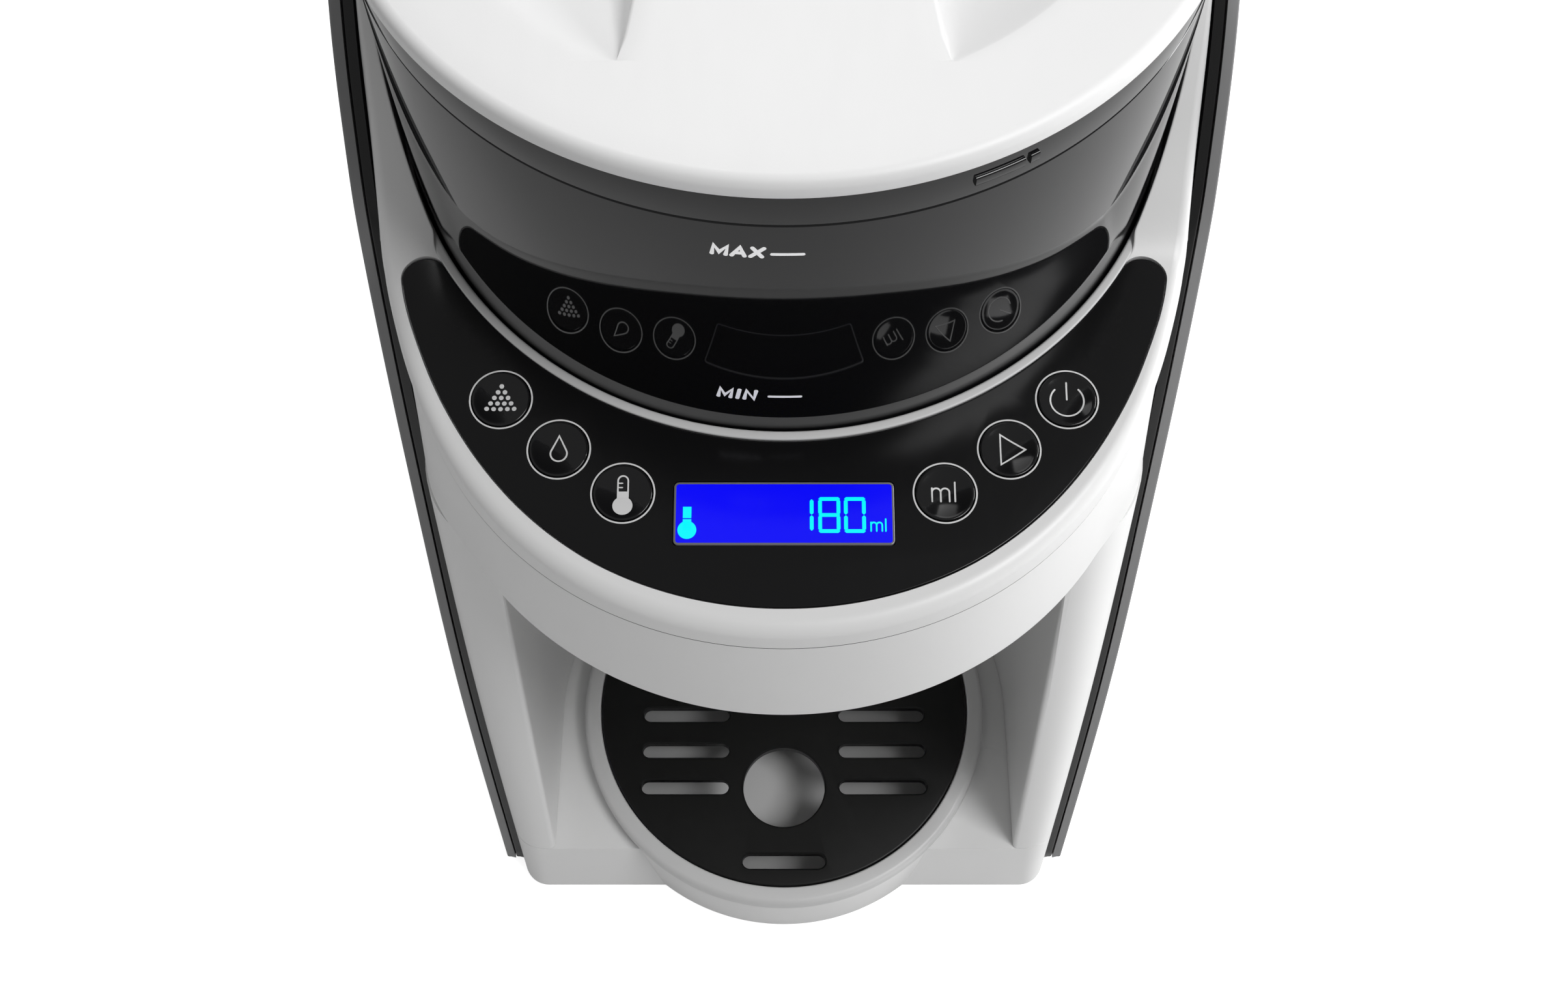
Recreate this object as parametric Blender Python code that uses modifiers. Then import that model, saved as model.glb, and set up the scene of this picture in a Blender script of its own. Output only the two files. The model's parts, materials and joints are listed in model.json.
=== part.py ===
"""Countertop baby formula maker, built as an assembly of separate named pieces.

Metres, +Z up, the front faces -Y. The origin is on the counter, in the middle of the
outline seen from above, which is also under the axis of the powder drum.
"""
import math

import bmesh
import bpy
import numpy as np
from mathutils import Matrix

# Clearances and cutting
GAP = 0.0003
CUT = 0.004
MERGE = 0.00001
WALL = 0.003

# Outline of the whole body, seen from above
BODY_HALF = 0.1065
NOSE_TAPER = 0.0085
NOSE_HALF = BODY_HALF - NOSE_TAPER
NARROWING_Y = -0.0300
NOSE_Y = -0.1350
BODY_BACK_Y = 0.1583
BACK_CORNER = 0.0280
TANK_DEPTH = 0.0458
HOUSING_BACK_Y = BODY_BACK_Y - TANK_DEPTH

# Heights
FOOT_HEIGHT = 0.0030
BASE_TOP = 0.0280
HEAD_BOTTOM = 0.1900
SEAM_Z = 0.2380
MACHINE_TOP = 0.3503
COWL_DROP = 0.0043
COWL_TOP = MACHINE_TOP - COWL_DROP
SHELF_TOP = 0.0600

# Side trims and side panels, whose front edge sweeps up and back
TRIM_THICK = 0.0028
PANEL_THICK = 0.0029
PLATE_BOTTOM = 0.0040
SHELL_INSET = TRIM_THICK + PANEL_THICK + 2 * GAP
EDGE_SHARES = ((0, 0.012), (0.117, 0.283), (0.234, 0.491), (0.355, 0.705), (0.412, 0.786),
               (0.505, 0.876), (0.658, 0.960), (0.820, 0.996), (1, 1))

# Legs either side of the bay
LEG_FRONT_LOW_Y = -0.1440
LEG_FRONT_HIGH_Y = -0.0970
LEG_FLAT_LOW_X = 0.0830
LEG_FLAT_HIGH_X = 0.0780
BAY_RADIUS = 0.0780
BAY_MOUTH_HALF = 0.0795

# Drip tray, and the bay round it
TRAY_Y = -0.0883
TRAY_RADIUS = 0.0700
TRAY_TOP = 0.0350
TRAY_FLOOR = 0.0090
TRAY_WALL = 0.0022
TRAY_LIP = 0.0045
TRAY_LEDGE = 0.0032
COVER_THICK = 0.0032
SLOT_WIDTH = 0.0050
SLOT_INNER_X = 0.0190
SLOT_OUTER_X = 0.0490
SLOT_ROWS_Y = (-0.0530, -0.0660, -0.0790, -0.0920, -0.1050, -0.1180)
END_SLOT_HALF = 0.0140
END_SLOT_REACH = 0.0555
BOTTLE_HOLE_RADIUS = 0.0140
BOTTLE_HOLE_Y = -0.1180
POCKET_ROOM = TRAY_RADIUS - TRAY_LIP - TRAY_LEDGE + GAP
BASE_ROOM_Y = TRAY_Y + POCKET_ROOM + 2 * WALL

# Head: ring, deck and control panel
HEAD_INSET = 0.0002
HEAD_RADIUS = BODY_HALF - SHELL_INSET - HEAD_INSET
HEAD_Y = -0.0462
RING_BACK_Y = -0.0200
RING_LIP_ROUND = 0.0022
DECK_Z = 0.2624
DECK_TILT = math.radians(6.15)
RIM_ROUND = 0.0034
RIM_WIDTH = 0.0065
PANEL_RADIUS = HEAD_RADIUS - RIM_WIDTH
PANEL_THICKNESS = 0.0015
PANEL_SINK = 0.0001
PANEL_END_ROUND = 0.0043
PANEL_LEDGE = 0.0035

# Drum and its socket
SOCKET_MARGIN = 0.0016
SOCKET_WALL = 0.0015
DRUM_PLAY = 0.0005
DRUM_DRAFT = 0.0004
SOCKET_OUTER = HEAD_RADIUS - SOCKET_MARGIN
SOCKET_INNER = SOCKET_OUTER - SOCKET_WALL
DRUM_RADIUS = SOCKET_INNER - DRUM_PLAY
DRUM_TOP_RADIUS = DRUM_RADIUS - DRUM_DRAFT
PANEL_INSET = 0.0006
PANEL_INNER = SOCKET_OUTER + PANEL_INSET
DRUM_WALL = 0.0024
DRUM_FLOOR_Z = 0.2250
DRUM_FLOOR = 0.0030
LID_TOP = MACHINE_TOP
LID_EDGE = 0.0050
LID_PLAY = 0.0005
DRUM_TOP = LID_TOP - LID_EDGE - LID_PLAY
DRUM_BAND = 0.0096
DRUM_SEAM_Z = DRUM_TOP - DRUM_BAND
DRUM_SEAM = 0.0004
SOCKET_FLOOR_Z = 0.2190
SOCKET_FLOOR = 0.0030
SOCKET_PROUD = 0.0008
LOCK_BAR_ANGLES = (math.radians(22.7), math.radians(29.2))
LOCK_DOT_ANGLE = math.radians(30.4)
LOCK_HEIGHT = 0.0026
LOCK_PROUD = 0.0007
LOCK_DOT_WIDTH = 0.0018
LOCK_Z = DRUM_TOP - DRUM_BAND / 2
OUTLET_Y = -0.0700
OUTLET_RADIUS = 0.0085

# Lid
LID_OVERHANG = 0.0006
LID_RADIUS = DRUM_RADIUS + LID_OVERHANG
LID_EDGE_ROUND = 0.0022
LID_SKIN = 0.0032
LID_BORDER = 0.0215
DISH_RADIUS = LID_RADIUS - LID_BORDER
DISH_DEPTH = 0.0150
GRIP_HALF = 0.0273
GRIP_FLARE = 0.0065
SEAL_ROOM = 0.0059
PLUG_RADIUS = DRUM_RADIUS - SEAL_ROOM
PLUG_DEPTH = 0.0100
SEAL_RADIUS = 0.0016

# Dosing train
WHEEL_PLAY = 0.0060
WHEEL_RADIUS = DRUM_RADIUS - DRUM_WALL - WHEEL_PLAY
WHEEL_THICK = 0.0080
POCKETS = 8
POCKET_RADIUS = 0.0078
HUB_RADIUS = 0.0120
HUB_HEIGHT = 0.0260
DOG_ROOM = 0.0006
STIRRER_ARMS = 3
STIRRER_PLAY = 0.0100
STIRRER_REACH = WHEEL_RADIUS - STIRRER_PLAY
STIRRER_WIRE = 0.0022
STIRRER_RISE = 0.0200
SCRAPER_WIDTH = 0.0160
SCRAPER_THICK = 0.0025
GEAR_TEETH = 36
PINION_TEETH = 12
TOOTH_MODULE = 0.0015
TOOTH_SLACK = 0.00045
GEAR_Z = 0.2050
GEAR_THICK = 0.0060
SHAFT_RADIUS = 0.0040
DOG_WIDTH = 0.0090
JOURNAL_RADIUS = 0.0075
MOUNT_Z = 0.1990
MOUNT_THICK = 0.0030
MOUNT_POST_RADIUS = 0.0040
MOTOR_RADIUS = 0.0185
MOTOR_HEIGHT = 0.0480
MOTOR_SHAFT_RADIUS = 0.0020

# Funnel and its holder
FUNNEL_Y = -0.0700
FUNNEL_TOP = 0.1868
FUNNEL_RADIUS = 0.0370
FUNNEL_FLANGE = 0.0430
FLANGE_THICK = 0.0030
FUNNEL_DEPTH = 0.0300
SPOUT_RADIUS = 0.0065
SPOUT_LENGTH = 0.0080
FUNNEL_SKIN = 0.0018
COVER_HEIGHT = 0.0025
RAIL_THICK = 0.0030
RAIL_LIP = 0.0050
CHUTE_WALL = 0.0015
CHUTE_RADIUS = 0.0100
NOZZLE_RADIUS = 0.0030
NOZZLE_Y = -0.0450
NOZZLE_HEIGHT = 0.0080
NOZZLE_X = 0.0140

# Buttons and display, placed on the tilted deck
BUTTON_PLACES = (("powder", -0.0677, -0.0888), ("water", -0.0533, -0.1016),
                 ("temperature", -0.0378, -0.1126), ("volume", 0.0378, -0.1126),
                 ("start", 0.0533, -0.1016), ("power", 0.0677, -0.0888))
BUTTON_RADIUS = 0.0069
BUTTON_PROUD = 0.0004
BUTTON_DOME = 0.0005
BUTTON_STEM_RADIUS = 0.0020
BUTTON_SKIRT = 0.0040
BUTTON_TRAVEL = 0.0008
DISPLAY_WIDTH = 0.0516
DISPLAY_HEIGHT = 0.0156
DISPLAY_CORNER = 0.0010
DISPLAY_Y = -0.1177
DISPLAY_MODULE_MARGIN = 0.0030
BOARD_THICK = 0.0016
BOARD_DROP = 0.0118

# Water tank at the back
TANK_FRONT_Y = HOUSING_BACK_Y + 2 * GAP
TANK_WALL = 0.0025
TANK_DROP = 0.0080
TANK_TOP = COWL_TOP - TANK_DROP
TANK_LID_THICK = 0.0060
TANK_LID_LIP = 0.0060
TANK_GRIP_HALF = 0.0320
TANK_GRIP_DEPTH = 0.0100
TANK_GRIP_HEIGHT = 0.0160
TANK_GRIP_DROP = 0.0480
TANK_GRIP_Z = TANK_TOP - TANK_GRIP_DROP
VALVE_BACK = 0.0213
VALVE_Y = BODY_BACK_Y - VALVE_BACK
VALVE_HOLE = 0.0045
VALVE_HEAD_RADIUS = 0.0090
VALVE_HEAD = 0.0030
VALVE_STEM = 0.0030
VALVE_DROP = 0.0030
CAGE_HEIGHT = 0.0170
CAGE_RADIUS = 0.0125
CAGE_BAR = 0.0020
SPRING_RADIUS = 0.0055
SPRING_WIRE = 0.00045
SPRING_TURNS = 4
SPRING_POINTS = 8
SEAT_RADIUS = 0.0130
SEAT_DEPTH = 0.0120
SEAT_PIN_RADIUS = 0.0020

# Pump, heater, boards and inlet
PUMP_X = -0.0500
PUMP_Y = 0.0560
PUMP_RADIUS = 0.0190
PUMP_HEIGHT = 0.0560
PORT_RADIUS = 0.0035
PORT_LENGTH = 0.0080
HEATER_X = 0.0520
HEATER_Y = 0.0560
HEATER_RADIUS = 0.0220
HEATER_HEIGHT = 0.1100
TUBE_RADIUS = 0.0030
POWER_BOARD_X = 0.0400
POWER_BOARD_Y = 0.0980
POWER_BOARD_HALF = 0.0260
POWER_BOARD_HEIGHT = 0.0900
COIL_WIDTH = 0.0240
COIL_DEPTH = 0.0140
COIL_HEIGHT = 0.0260
INLET_X = 0.0600
INLET_Z = 0.0260
INLET_HALF = 0.0140
INLET_TALL = 0.0170
INLET_DEPTH = 0.0200
INLET_WALL = 0.0022
PIN_HALF = 0.0018
PIN_SPACING = 0.0070

SEAT_HOSE_Z = SHELF_TOP - SEAT_DEPTH * 2 / 3

# Feet
FOOT_RADIUS = 0.0090
FOOT_INSET = 0.0345
FOOT_X = BODY_HALF - FOOT_INSET
FOOT_FRONT_Y = -0.1080
FOOT_BACK_INSET = 0.0303
FOOT_BACK_Y = BODY_BACK_Y - FOOT_BACK_INSET
PLATE_THICK = 0.0020

# Facets
ROUND_STEPS = 48
HEAD_STEPS = 18
WHEEL_STEPS = 36
MIDDLE_STEPS = 20
SMALL_STEPS = 12
CORNER_STEPS = 4
FLAT_ANGLE = math.radians(0.1)

COLLECTION_NAME = "baby_formula_maker"
WHITE = ((0.86, 0.86, 0.855), 0.38, 0.0)
BRIGHT = ((0.62, 0.62, 0.62), 0.42, 0.0)
SIDE_GREY = ((0.20, 0.20, 0.205), 0.40, 0.0)
GLOSS_BLACK = ((0.006, 0.006, 0.006), 0.12, 0.0)
PANEL_BLACK = ((0.010, 0.010, 0.011), 0.16, 0.0)
SMOKE = ((0.016, 0.016, 0.018), 0.06, 0.0)
SATIN_BLACK = ((0.010, 0.010, 0.010), 0.38, 0.0)
SCREEN_BLUE = ((0.0, 0.0, 0.95), 0.15, 0.0)
RUBBER = ((0.020, 0.020, 0.020), 0.85, 0.0)
SILICONE = ((0.55, 0.56, 0.57), 0.60, 0.0)
NYLON = ((0.66, 0.66, 0.63), 0.50, 0.0)
STEEL = ((0.55, 0.56, 0.58), 0.32, 1.0)
BOARD_GREEN = ((0.02, 0.13, 0.05), 0.50, 0.0)


def clear_scene():
    for thing in list(bpy.data.objects):
        bpy.data.objects.remove(thing, do_unlink=True)


clear_scene()
parts = bpy.data.collections.new(COLLECTION_NAME)
cutters = bpy.data.collections.new("cutters")
bpy.context.scene.collection.children.link(parts)
bpy.context.scene.collection.children.link(cutters)


def material(name, finish):
    """A Principled material named for its piece."""
    colour, roughness, metallic = finish
    made = bpy.data.materials.new(name)
    made.use_nodes = True
    shader = made.node_tree.nodes["Principled BSDF"]
    shader.inputs["Base Color"].default_value = (*colour, 1.0)
    shader.inputs["Roughness"].default_value = roughness
    shader.inputs["Metallic"].default_value = metallic
    made.diffuse_color = (*colour, 1.0)
    return made


def welded(mesh):
    """The mesh with its doubles merged and its faces pointing out."""
    work = bmesh.new()
    work.from_mesh(mesh)
    bmesh.ops.remove_doubles(work, verts=work.verts, dist=MERGE)
    bmesh.ops.recalc_face_normals(work, faces=work.faces)
    work.to_mesh(mesh)
    work.free()
    return mesh


def evaluated_mesh(thing):
    """The mesh that an object shows after its modifiers, in its own axes."""
    bpy.context.view_layer.update()
    graph = bpy.context.evaluated_depsgraph_get()
    return bpy.data.meshes.new_from_object(thing.evaluated_get(graph))


def put(name, mesh, finish=None):
    """A finished piece when it has a finish, and a cutter when it has none."""
    thing = bpy.data.objects.new(name, mesh)
    if finish is None:
        cutters.objects.link(thing)
        thing.display_type = "WIRE"
        thing.hide_render = True
    else:
        parts.objects.link(thing)
        mesh.materials.clear()
        mesh.materials.append(material(name, finish))
        mesh.shade_smooth()
        mesh.set_sharp_from_angle(angle=math.radians(30))
    return thing


def curve_mesh(data):
    """A curve's mesh, with its caps welded to its sides."""
    holder = bpy.data.objects.new("holder", data)
    parts.objects.link(holder)
    mesh = evaluated_mesh(holder)
    bpy.data.objects.remove(holder, do_unlink=True)
    return welded(mesh)


def plate_mesh(loops, low, high):
    """A flat outline, with holes where loops lie inside it, from height low to high."""
    data = bpy.data.curves.new("outline", "CURVE")
    data.dimensions = "2D"
    data.fill_mode = "BOTH"
    data.extrude = (high - low) / 2
    for loop in loops:
        spline = data.splines.new("POLY")
        spline.points.add(len(loop) - 1)
        for point, (x, y) in zip(spline.points, loop):
            point.co = (x, y, 0, 1)
        spline.use_cyclic_u = True
    mesh = curve_mesh(data)
    for vertex in mesh.vertices:
        vertex.co.z = low if vertex.co.z < 0 else high
    return mesh


def plate(name, loops, low, high, finish=None):
    return put(name, plate_mesh(loops, low, high), finish)


def side_plate(name, loop, left, right, finish=None):
    """An outline drawn in Y and Z, extruded along X."""
    mesh = plate_mesh([loop], left, right)
    turn = Matrix(((0, 0, 1, 0), (1, 0, 0, 0), (0, 1, 0, 0), (0, 0, 0, 1)))
    mesh.transform(turn)
    return put(name, mesh, finish)


def turned(name, profile, finish=None, steps=ROUND_STEPS, place=(0, 0, 0), closed=False):
    """A profile of radius and height, top to bottom on its outer side, turned about Z."""
    mesh = bpy.data.meshes.new(name)
    edges = [(i, i + 1) for i in range(len(profile) - 1)]
    if closed:
        edges.append((len(profile) - 1, 0))
    mesh.from_pydata([(r, 0, z) for r, z in profile], edges, [])
    holder = bpy.data.objects.new("holder", mesh)
    parts.objects.link(holder)
    screw = holder.modifiers.new("turn", "SCREW")
    screw.steps = steps
    screw.render_steps = steps
    screw.use_merge_vertices = True
    screw.merge_threshold = MERGE
    made = welded(evaluated_mesh(holder))
    bpy.data.objects.remove(holder, do_unlink=True)
    thing = put(name, made, finish)
    thing.location = place
    return thing


def tube(name, points, radius, finish=None, sides=2):
    """A round bar or hose along points, as a bevelled curve made into a mesh."""
    data = bpy.data.curves.new(name, "CURVE")
    data.dimensions = "3D"
    data.bevel_depth = radius
    data.bevel_resolution = sides
    data.use_fill_caps = True
    spline = data.splines.new("POLY")
    spline.points.add(len(points) - 1)
    for point, place in zip(spline.points, points):
        point.co = (*place, 1)
    return put(name, curve_mesh(data), finish)


def box(name, low, high, finish=None, place=(0, 0, 0)):
    """A box between two corners."""
    mesh = bpy.data.meshes.new(name)
    work = bmesh.new()
    bmesh.ops.create_cube(work, size=1)
    for vertex in work.verts:
        vertex.co = [(a + b) / 2 + c * (b - a) for a, b, c in zip(low, high, vertex.co)]
    work.to_mesh(mesh)
    work.free()
    thing = put(name, mesh, finish)
    thing.location = place
    return thing


def combine(target, operand, operation):
    """Cuts, joins or crosses a piece with a cutter object, as a live modifier."""
    modifier = target.modifiers.new(operation.lower() + "_" + operand.name, "BOOLEAN")
    modifier.operation = operation
    modifier.solver = "EXACT"
    modifier.object = operand


def cut(target, *operands):
    for operand in operands:
        combine(target, operand, "DIFFERENCE")


def join(target, *operands):
    for operand in operands:
        combine(target, operand, "UNION")


def rounded_edges(thing, chosen, radius, steps):
    """Bakes the piece and rounds the sharp edges that the rule picks."""
    mesh = evaluated_mesh(thing)
    thing.modifiers.clear()
    work = bmesh.new()
    work.from_mesh(mesh)
    bmesh.ops.remove_doubles(work, verts=work.verts, dist=MERGE)
    bmesh.ops.dissolve_limit(work, angle_limit=FLAT_ANGLE, verts=work.verts, edges=work.edges)
    sharp = [edge for edge in work.edges if len(edge.link_faces) == 2
             and edge.calc_face_angle(0) > math.radians(35) and chosen(edge)]
    bmesh.ops.bevel(work, geom=sharp, offset=radius, segments=steps, affect="EDGES", profile=0.5)
    work.to_mesh(mesh)
    work.free()
    thing.data = mesh
    mesh.shade_smooth()
    mesh.set_sharp_from_angle(angle=math.radians(30))
    return thing


def arc(x, y, radius, start, end, steps):
    """Points on a circle, from one angle to another, both ends included."""
    angles = np.linspace(start, end, steps + 1)
    return [(x + radius * math.cos(a), y + radius * math.sin(a)) for a in angles]


def circle(x, y, radius, steps=SMALL_STEPS):
    return arc(x, y, radius, 0, 2 * math.pi, steps)[:-1]


def rounded_box(x, y, half_x, half_y, corner, steps=CORNER_STEPS):
    """A rectangle with round corners, anticlockwise."""
    points = []
    for quarter, (right, back) in enumerate(((1, 1), (-1, 1), (-1, -1), (1, -1))):
        start = quarter * math.pi / 2
        points += arc(x + right * (half_x - corner), y + back * (half_y - corner), corner,
                      start, start + math.pi / 2, steps)
    return points


def body_half(y):
    """Half the body's width at a depth: full at the back, drawn in towards the nose."""
    share = np.clip((NARROWING_Y - y) / (NARROWING_Y - NOSE_Y), 0, None)
    return BODY_HALF - (BODY_HALF - NOSE_HALF) * share ** 2


def swept_edge():
    """The plates' front and top edge: depth and height along a smooth line."""
    shares = np.array(EDGE_SHARES, float)
    padded = np.vstack([2 * shares[0] - shares[1], shares, 2 * shares[-1] - shares[-2]])
    steps = np.linspace(0, 1, CORNER_STEPS, endpoint=False)[:, None]
    line = []
    for a, b, c, d in zip(padded, padded[1:], padded[2:], padded[3:]):
        line.append(0.5 * (2 * b + (c - a) * steps + (2 * a - 5 * b + 4 * c - d) * steps ** 2
                           + (3 * b - a - 3 * c + d) * steps ** 3))
    line = np.vstack(line + [shares[-1:]])
    y = NOSE_Y + line[:, 0] * (HOUSING_BACK_Y - NOSE_Y)
    return y, line[:, 1] * COWL_TOP


EDGE_Y, EDGE_Z = swept_edge()


def edge_y(z):
    return float(np.interp(z, EDGE_Z, EDGE_Y))


def edge_z(y):
    return float(np.interp(y, EDGE_Y, EDGE_Z))


def deck_z(y):
    """Height of the tilted deck at a depth."""
    return DECK_Z + y * math.tan(DECK_TILT)


def mirrored(right_side):
    """A full outline from its right half, whose end points may lie on the middle."""
    return right_side + [(-x, y) for x, y in reversed(right_side) if x > MERGE]


def head_outline(back_y, inset=0.0):
    """The head from above: straight sides ending in a half circle."""
    half = HEAD_RADIUS - inset
    return mirrored([(half, back_y)] + arc(0, HEAD_Y, half, 0, -math.pi / 2, HEAD_STEPS))


def on_head_rim(place):
    """Whether a point lies on the head's outer wall."""
    return math.hypot(place.x, min(place.y - HEAD_Y, 0)) > HEAD_RADIUS - GAP


def body_outline(inset, front, back_y, corner):
    """The body from above, with round back corners and a given front half."""
    half = BODY_HALF - inset
    back = arc(half - corner, back_y - inset - corner, corner, math.pi / 2, 0, CORNER_STEPS)
    return mirrored([(0, back_y - inset)] + back + front)


def leg_front(z, inset):
    """The right half of the legs' front at a height, from the side round to the middle."""
    rise = np.clip((z - FOOT_HEIGHT) / (HEAD_BOTTOM - FOOT_HEIGHT), 0, 1)
    side_y = max(edge_y(z), NOSE_Y)
    flat_y = LEG_FRONT_LOW_Y + rise * (LEG_FRONT_HIGH_Y - LEG_FRONT_LOW_Y)
    flat_x = LEG_FLAT_LOW_X + rise * (LEG_FLAT_HIGH_X - LEG_FLAT_LOW_X)
    sides = [(float(body_half(y)) - inset, float(y))
             for y in np.linspace(NARROWING_Y, side_y, CORNER_STEPS)]
    reach = sides[-1][0] - flat_x
    turns = np.linspace(0, math.pi / 2, CORNER_STEPS + 1)[1:]
    corner = [(flat_x + reach * math.cos(a), side_y - (side_y - flat_y) * math.sin(a)) for a in turns]
    return sides + corner + [(0, flat_y)]


def loft(name, sections, finish=None):
    """A solid through outlines at heights, each with the same number of points."""
    count = len(sections[0][1])
    vertices = [(x, y, z) for z, outline in sections for x, y in outline]
    faces = [tuple(reversed(range(count)))]
    for level in range(len(sections) - 1):
        low, high = level * count, (level + 1) * count
        for i in range(count):
            j = (i + 1) % count
            faces.append((low + i, low + j, high + j, high + i))
    faces.append(tuple(range(len(vertices) - count, len(vertices))))
    mesh = bpy.data.meshes.new(name)
    mesh.from_pydata(vertices, [], faces)
    return put(name, welded(mesh), finish)


def deck_frame():
    """An empty whose plane is the tilted deck."""
    frame = bpy.data.objects.new("deck_frame", None)
    parts.objects.link(frame)
    frame.location = (0, 0, DECK_Z)
    frame.rotation_euler = (DECK_TILT, 0, 0)
    return frame


def on_deck(thing, place=(0, 0, 0)):
    """Carries a piece that is drawn on the deck's own plane."""
    thing.parent = deck_empty
    thing.location = place
    return thing


deck_empty = deck_frame()


def feet():
    """Four rubber feet, each pressed up under the base."""
    bevel = FOOT_HEIGHT / 3
    profile = [(0, FOOT_HEIGHT - GAP), (FOOT_RADIUS, FOOT_HEIGHT - GAP), (FOOT_RADIUS, bevel),
               (FOOT_RADIUS - bevel, 0), (0, 0)]
    for end, y in (("front", FOOT_FRONT_Y), ("back", FOOT_BACK_Y)):
        for side, x in (("left", -FOOT_X), ("right", FOOT_X)):
            turned("foot_" + end + "_" + side, profile, RUBBER, SMALL_STEPS, (x, y, 0))


def tank_outline(inset):
    """The tank and its shelf from above: flat in front, round at the back corners."""
    half = BODY_HALF - inset
    corner = BACK_CORNER - inset
    back = arc(half - corner, BODY_BACK_Y - inset - corner, corner, math.pi / 2, 0, CORNER_STEPS)
    return mirrored([(0, BODY_BACK_Y - inset)] + back + [(half, TANK_FRONT_Y + inset)])


def base():
    """The foot of the body, open below: tray pocket in front, tank shelf behind."""
    low, high = FOOT_HEIGHT, BASE_TOP
    sections = [(z, body_outline(SHELL_INSET, leg_front(z, SHELL_INSET), BODY_BACK_Y + SHELL_INSET,
                                 BACK_CORNER)) for z in (low, high)]
    body = loft("base", sections, WHITE)
    bulge = turned("base_bulge", [(0, high), (TRAY_RADIUS - GAP, high), (TRAY_RADIUS - GAP, low), (0, low)],
                   place=(0, TRAY_Y, 0))
    shelf = plate("tank_shelf", [tank_outline(0)], low, SHELF_TOP)
    half = BODY_HALF - SHELL_INSET - WALL
    inside = box("base_inside", (-half, BASE_ROOM_Y, low - CUT), (half, TANK_FRONT_Y + 2 * WALL, high - WALL))
    shelf_inside = plate("shelf_inside", [tank_outline(WALL)], low - 2 * CUT, SHELF_TOP - WALL)
    seat_wall = turned("seat_wall", [(0, SHELF_TOP), (SEAT_RADIUS + WALL, SHELF_TOP),
                                     (SEAT_RADIUS + WALL, SHELF_TOP - SEAT_DEPTH - WALL),
                                     (0, SHELF_TOP - SEAT_DEPTH - WALL)], steps=SMALL_STEPS,
                       place=(0, VALVE_Y, 0))
    inlet_wall = box("inlet_wall", (INLET_X - INLET_HALF - WALL, BODY_BACK_Y - INLET_DEPTH - WALL,
                                    INLET_Z - INLET_TALL / 2 - WALL),
                     (INLET_X + INLET_HALF + WALL, BODY_BACK_Y, INLET_Z + INLET_TALL / 2 + WALL))
    cut(shelf_inside, seat_wall, inlet_wall)
    pocket = turned("tray_pocket", [(0, high + CUT), (POCKET_ROOM, high + CUT),
                                    (POCKET_ROOM, TRAY_FLOOR - GAP), (0, TRAY_FLOOR - GAP)],
                    place=(0, TRAY_Y, 0))
    seat_hole = turned("seat_hole", [(0, SHELF_TOP + CUT), (SEAT_RADIUS + GAP, SHELF_TOP + CUT),
                                     (SEAT_RADIUS + GAP, SHELF_TOP - SEAT_DEPTH),
                                     (0, SHELF_TOP - SEAT_DEPTH)], steps=SMALL_STEPS,
                       place=(0, VALVE_Y, 0))
    tube_way = box("tube_way", (-TUBE_RADIUS * 2, HOUSING_BACK_Y - WALL, SEAT_HOSE_Z - TUBE_RADIUS - WALL / 2),
                   (TUBE_RADIUS * 2, VALVE_Y, SEAT_HOSE_Z + TUBE_RADIUS + WALL / 2))
    inlet = box("inlet_pocket", (INLET_X - INLET_HALF - GAP, BODY_BACK_Y - INLET_DEPTH - GAP,
                                 INLET_Z - INLET_TALL / 2 - GAP),
                (INLET_X + INLET_HALF + GAP, BODY_BACK_Y + CUT, INLET_Z + INLET_TALL / 2 + GAP))
    join(body, bulge, shelf)
    cut(body, inside, shelf_inside, pocket, seat_hole, tube_way, inlet)


def base_plate():
    """The sheet that closes the base from below and carries the feet."""
    inset = WALL + GAP
    half = BODY_HALF - SHELL_INSET - inset
    step = TANK_FRONT_Y + inset
    right = tank_outline(inset)[:CORNER_STEPS + 3]
    outline = mirrored(right + [(half, step), (half, BASE_ROOM_Y + GAP)])
    plate("base_plate", [outline], FOOT_HEIGHT, FOOT_HEIGHT + PLATE_THICK, SATIN_BLACK)


def housing():
    """Legs, bay wall and the box behind them, open at the back and at the top."""
    low, high = BASE_TOP + GAP, HEAD_BOTTOM
    heights = np.linspace(low, high, CORNER_STEPS)
    sections = [(z, body_outline(SHELL_INSET, leg_front(z, SHELL_INSET),
                                 HOUSING_BACK_Y + SHELL_INSET, CUT)) for z in heights]
    body = loft("housing", sections, WHITE)
    half = BODY_HALF - SHELL_INSET
    top = SEAM_Z - GAP
    upper = plate("housing_upper", [[(half, HOUSING_BACK_Y), (-half, HOUSING_BACK_Y),
                                     (-half, RING_BACK_Y + GAP), (half, RING_BACK_Y + GAP)]],
                  high - CUT, top)
    bay_line = arc(0, TRAY_Y, BAY_RADIUS, 0, math.pi, WHEEL_STEPS * 2 // 3)
    mouth = LEG_FRONT_LOW_Y - CUT
    bay = plate("bay", [bay_line + [(-BAY_MOUTH_HALF, mouth), (BAY_MOUTH_HALF, mouth)]],
                low - CUT, HEAD_BOTTOM + CUT)
    wall_y = TRAY_Y + BAY_RADIUS + WALL
    inner = half - WALL
    hollow = box("hollow", (-inner, wall_y, low + WALL), (inner, HOUSING_BACK_Y + CUT, top + CUT))
    throat = box("throat", (-inner, RING_BACK_Y - CUT, high + WALL + CUT),
                 (inner, wall_y + CUT, top + CUT))
    join(body, upper)
    cut(body, bay, hollow, throat)
    well = SOCKET_OUTER + GAP
    socket_room = turned("socket_room", [(0, top + CUT), (well, top + CUT), (well, SOCKET_FLOOR_Z - GAP),
                                         (0, SOCKET_FLOOR_Z - GAP)])
    cut(body, socket_room)


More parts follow.
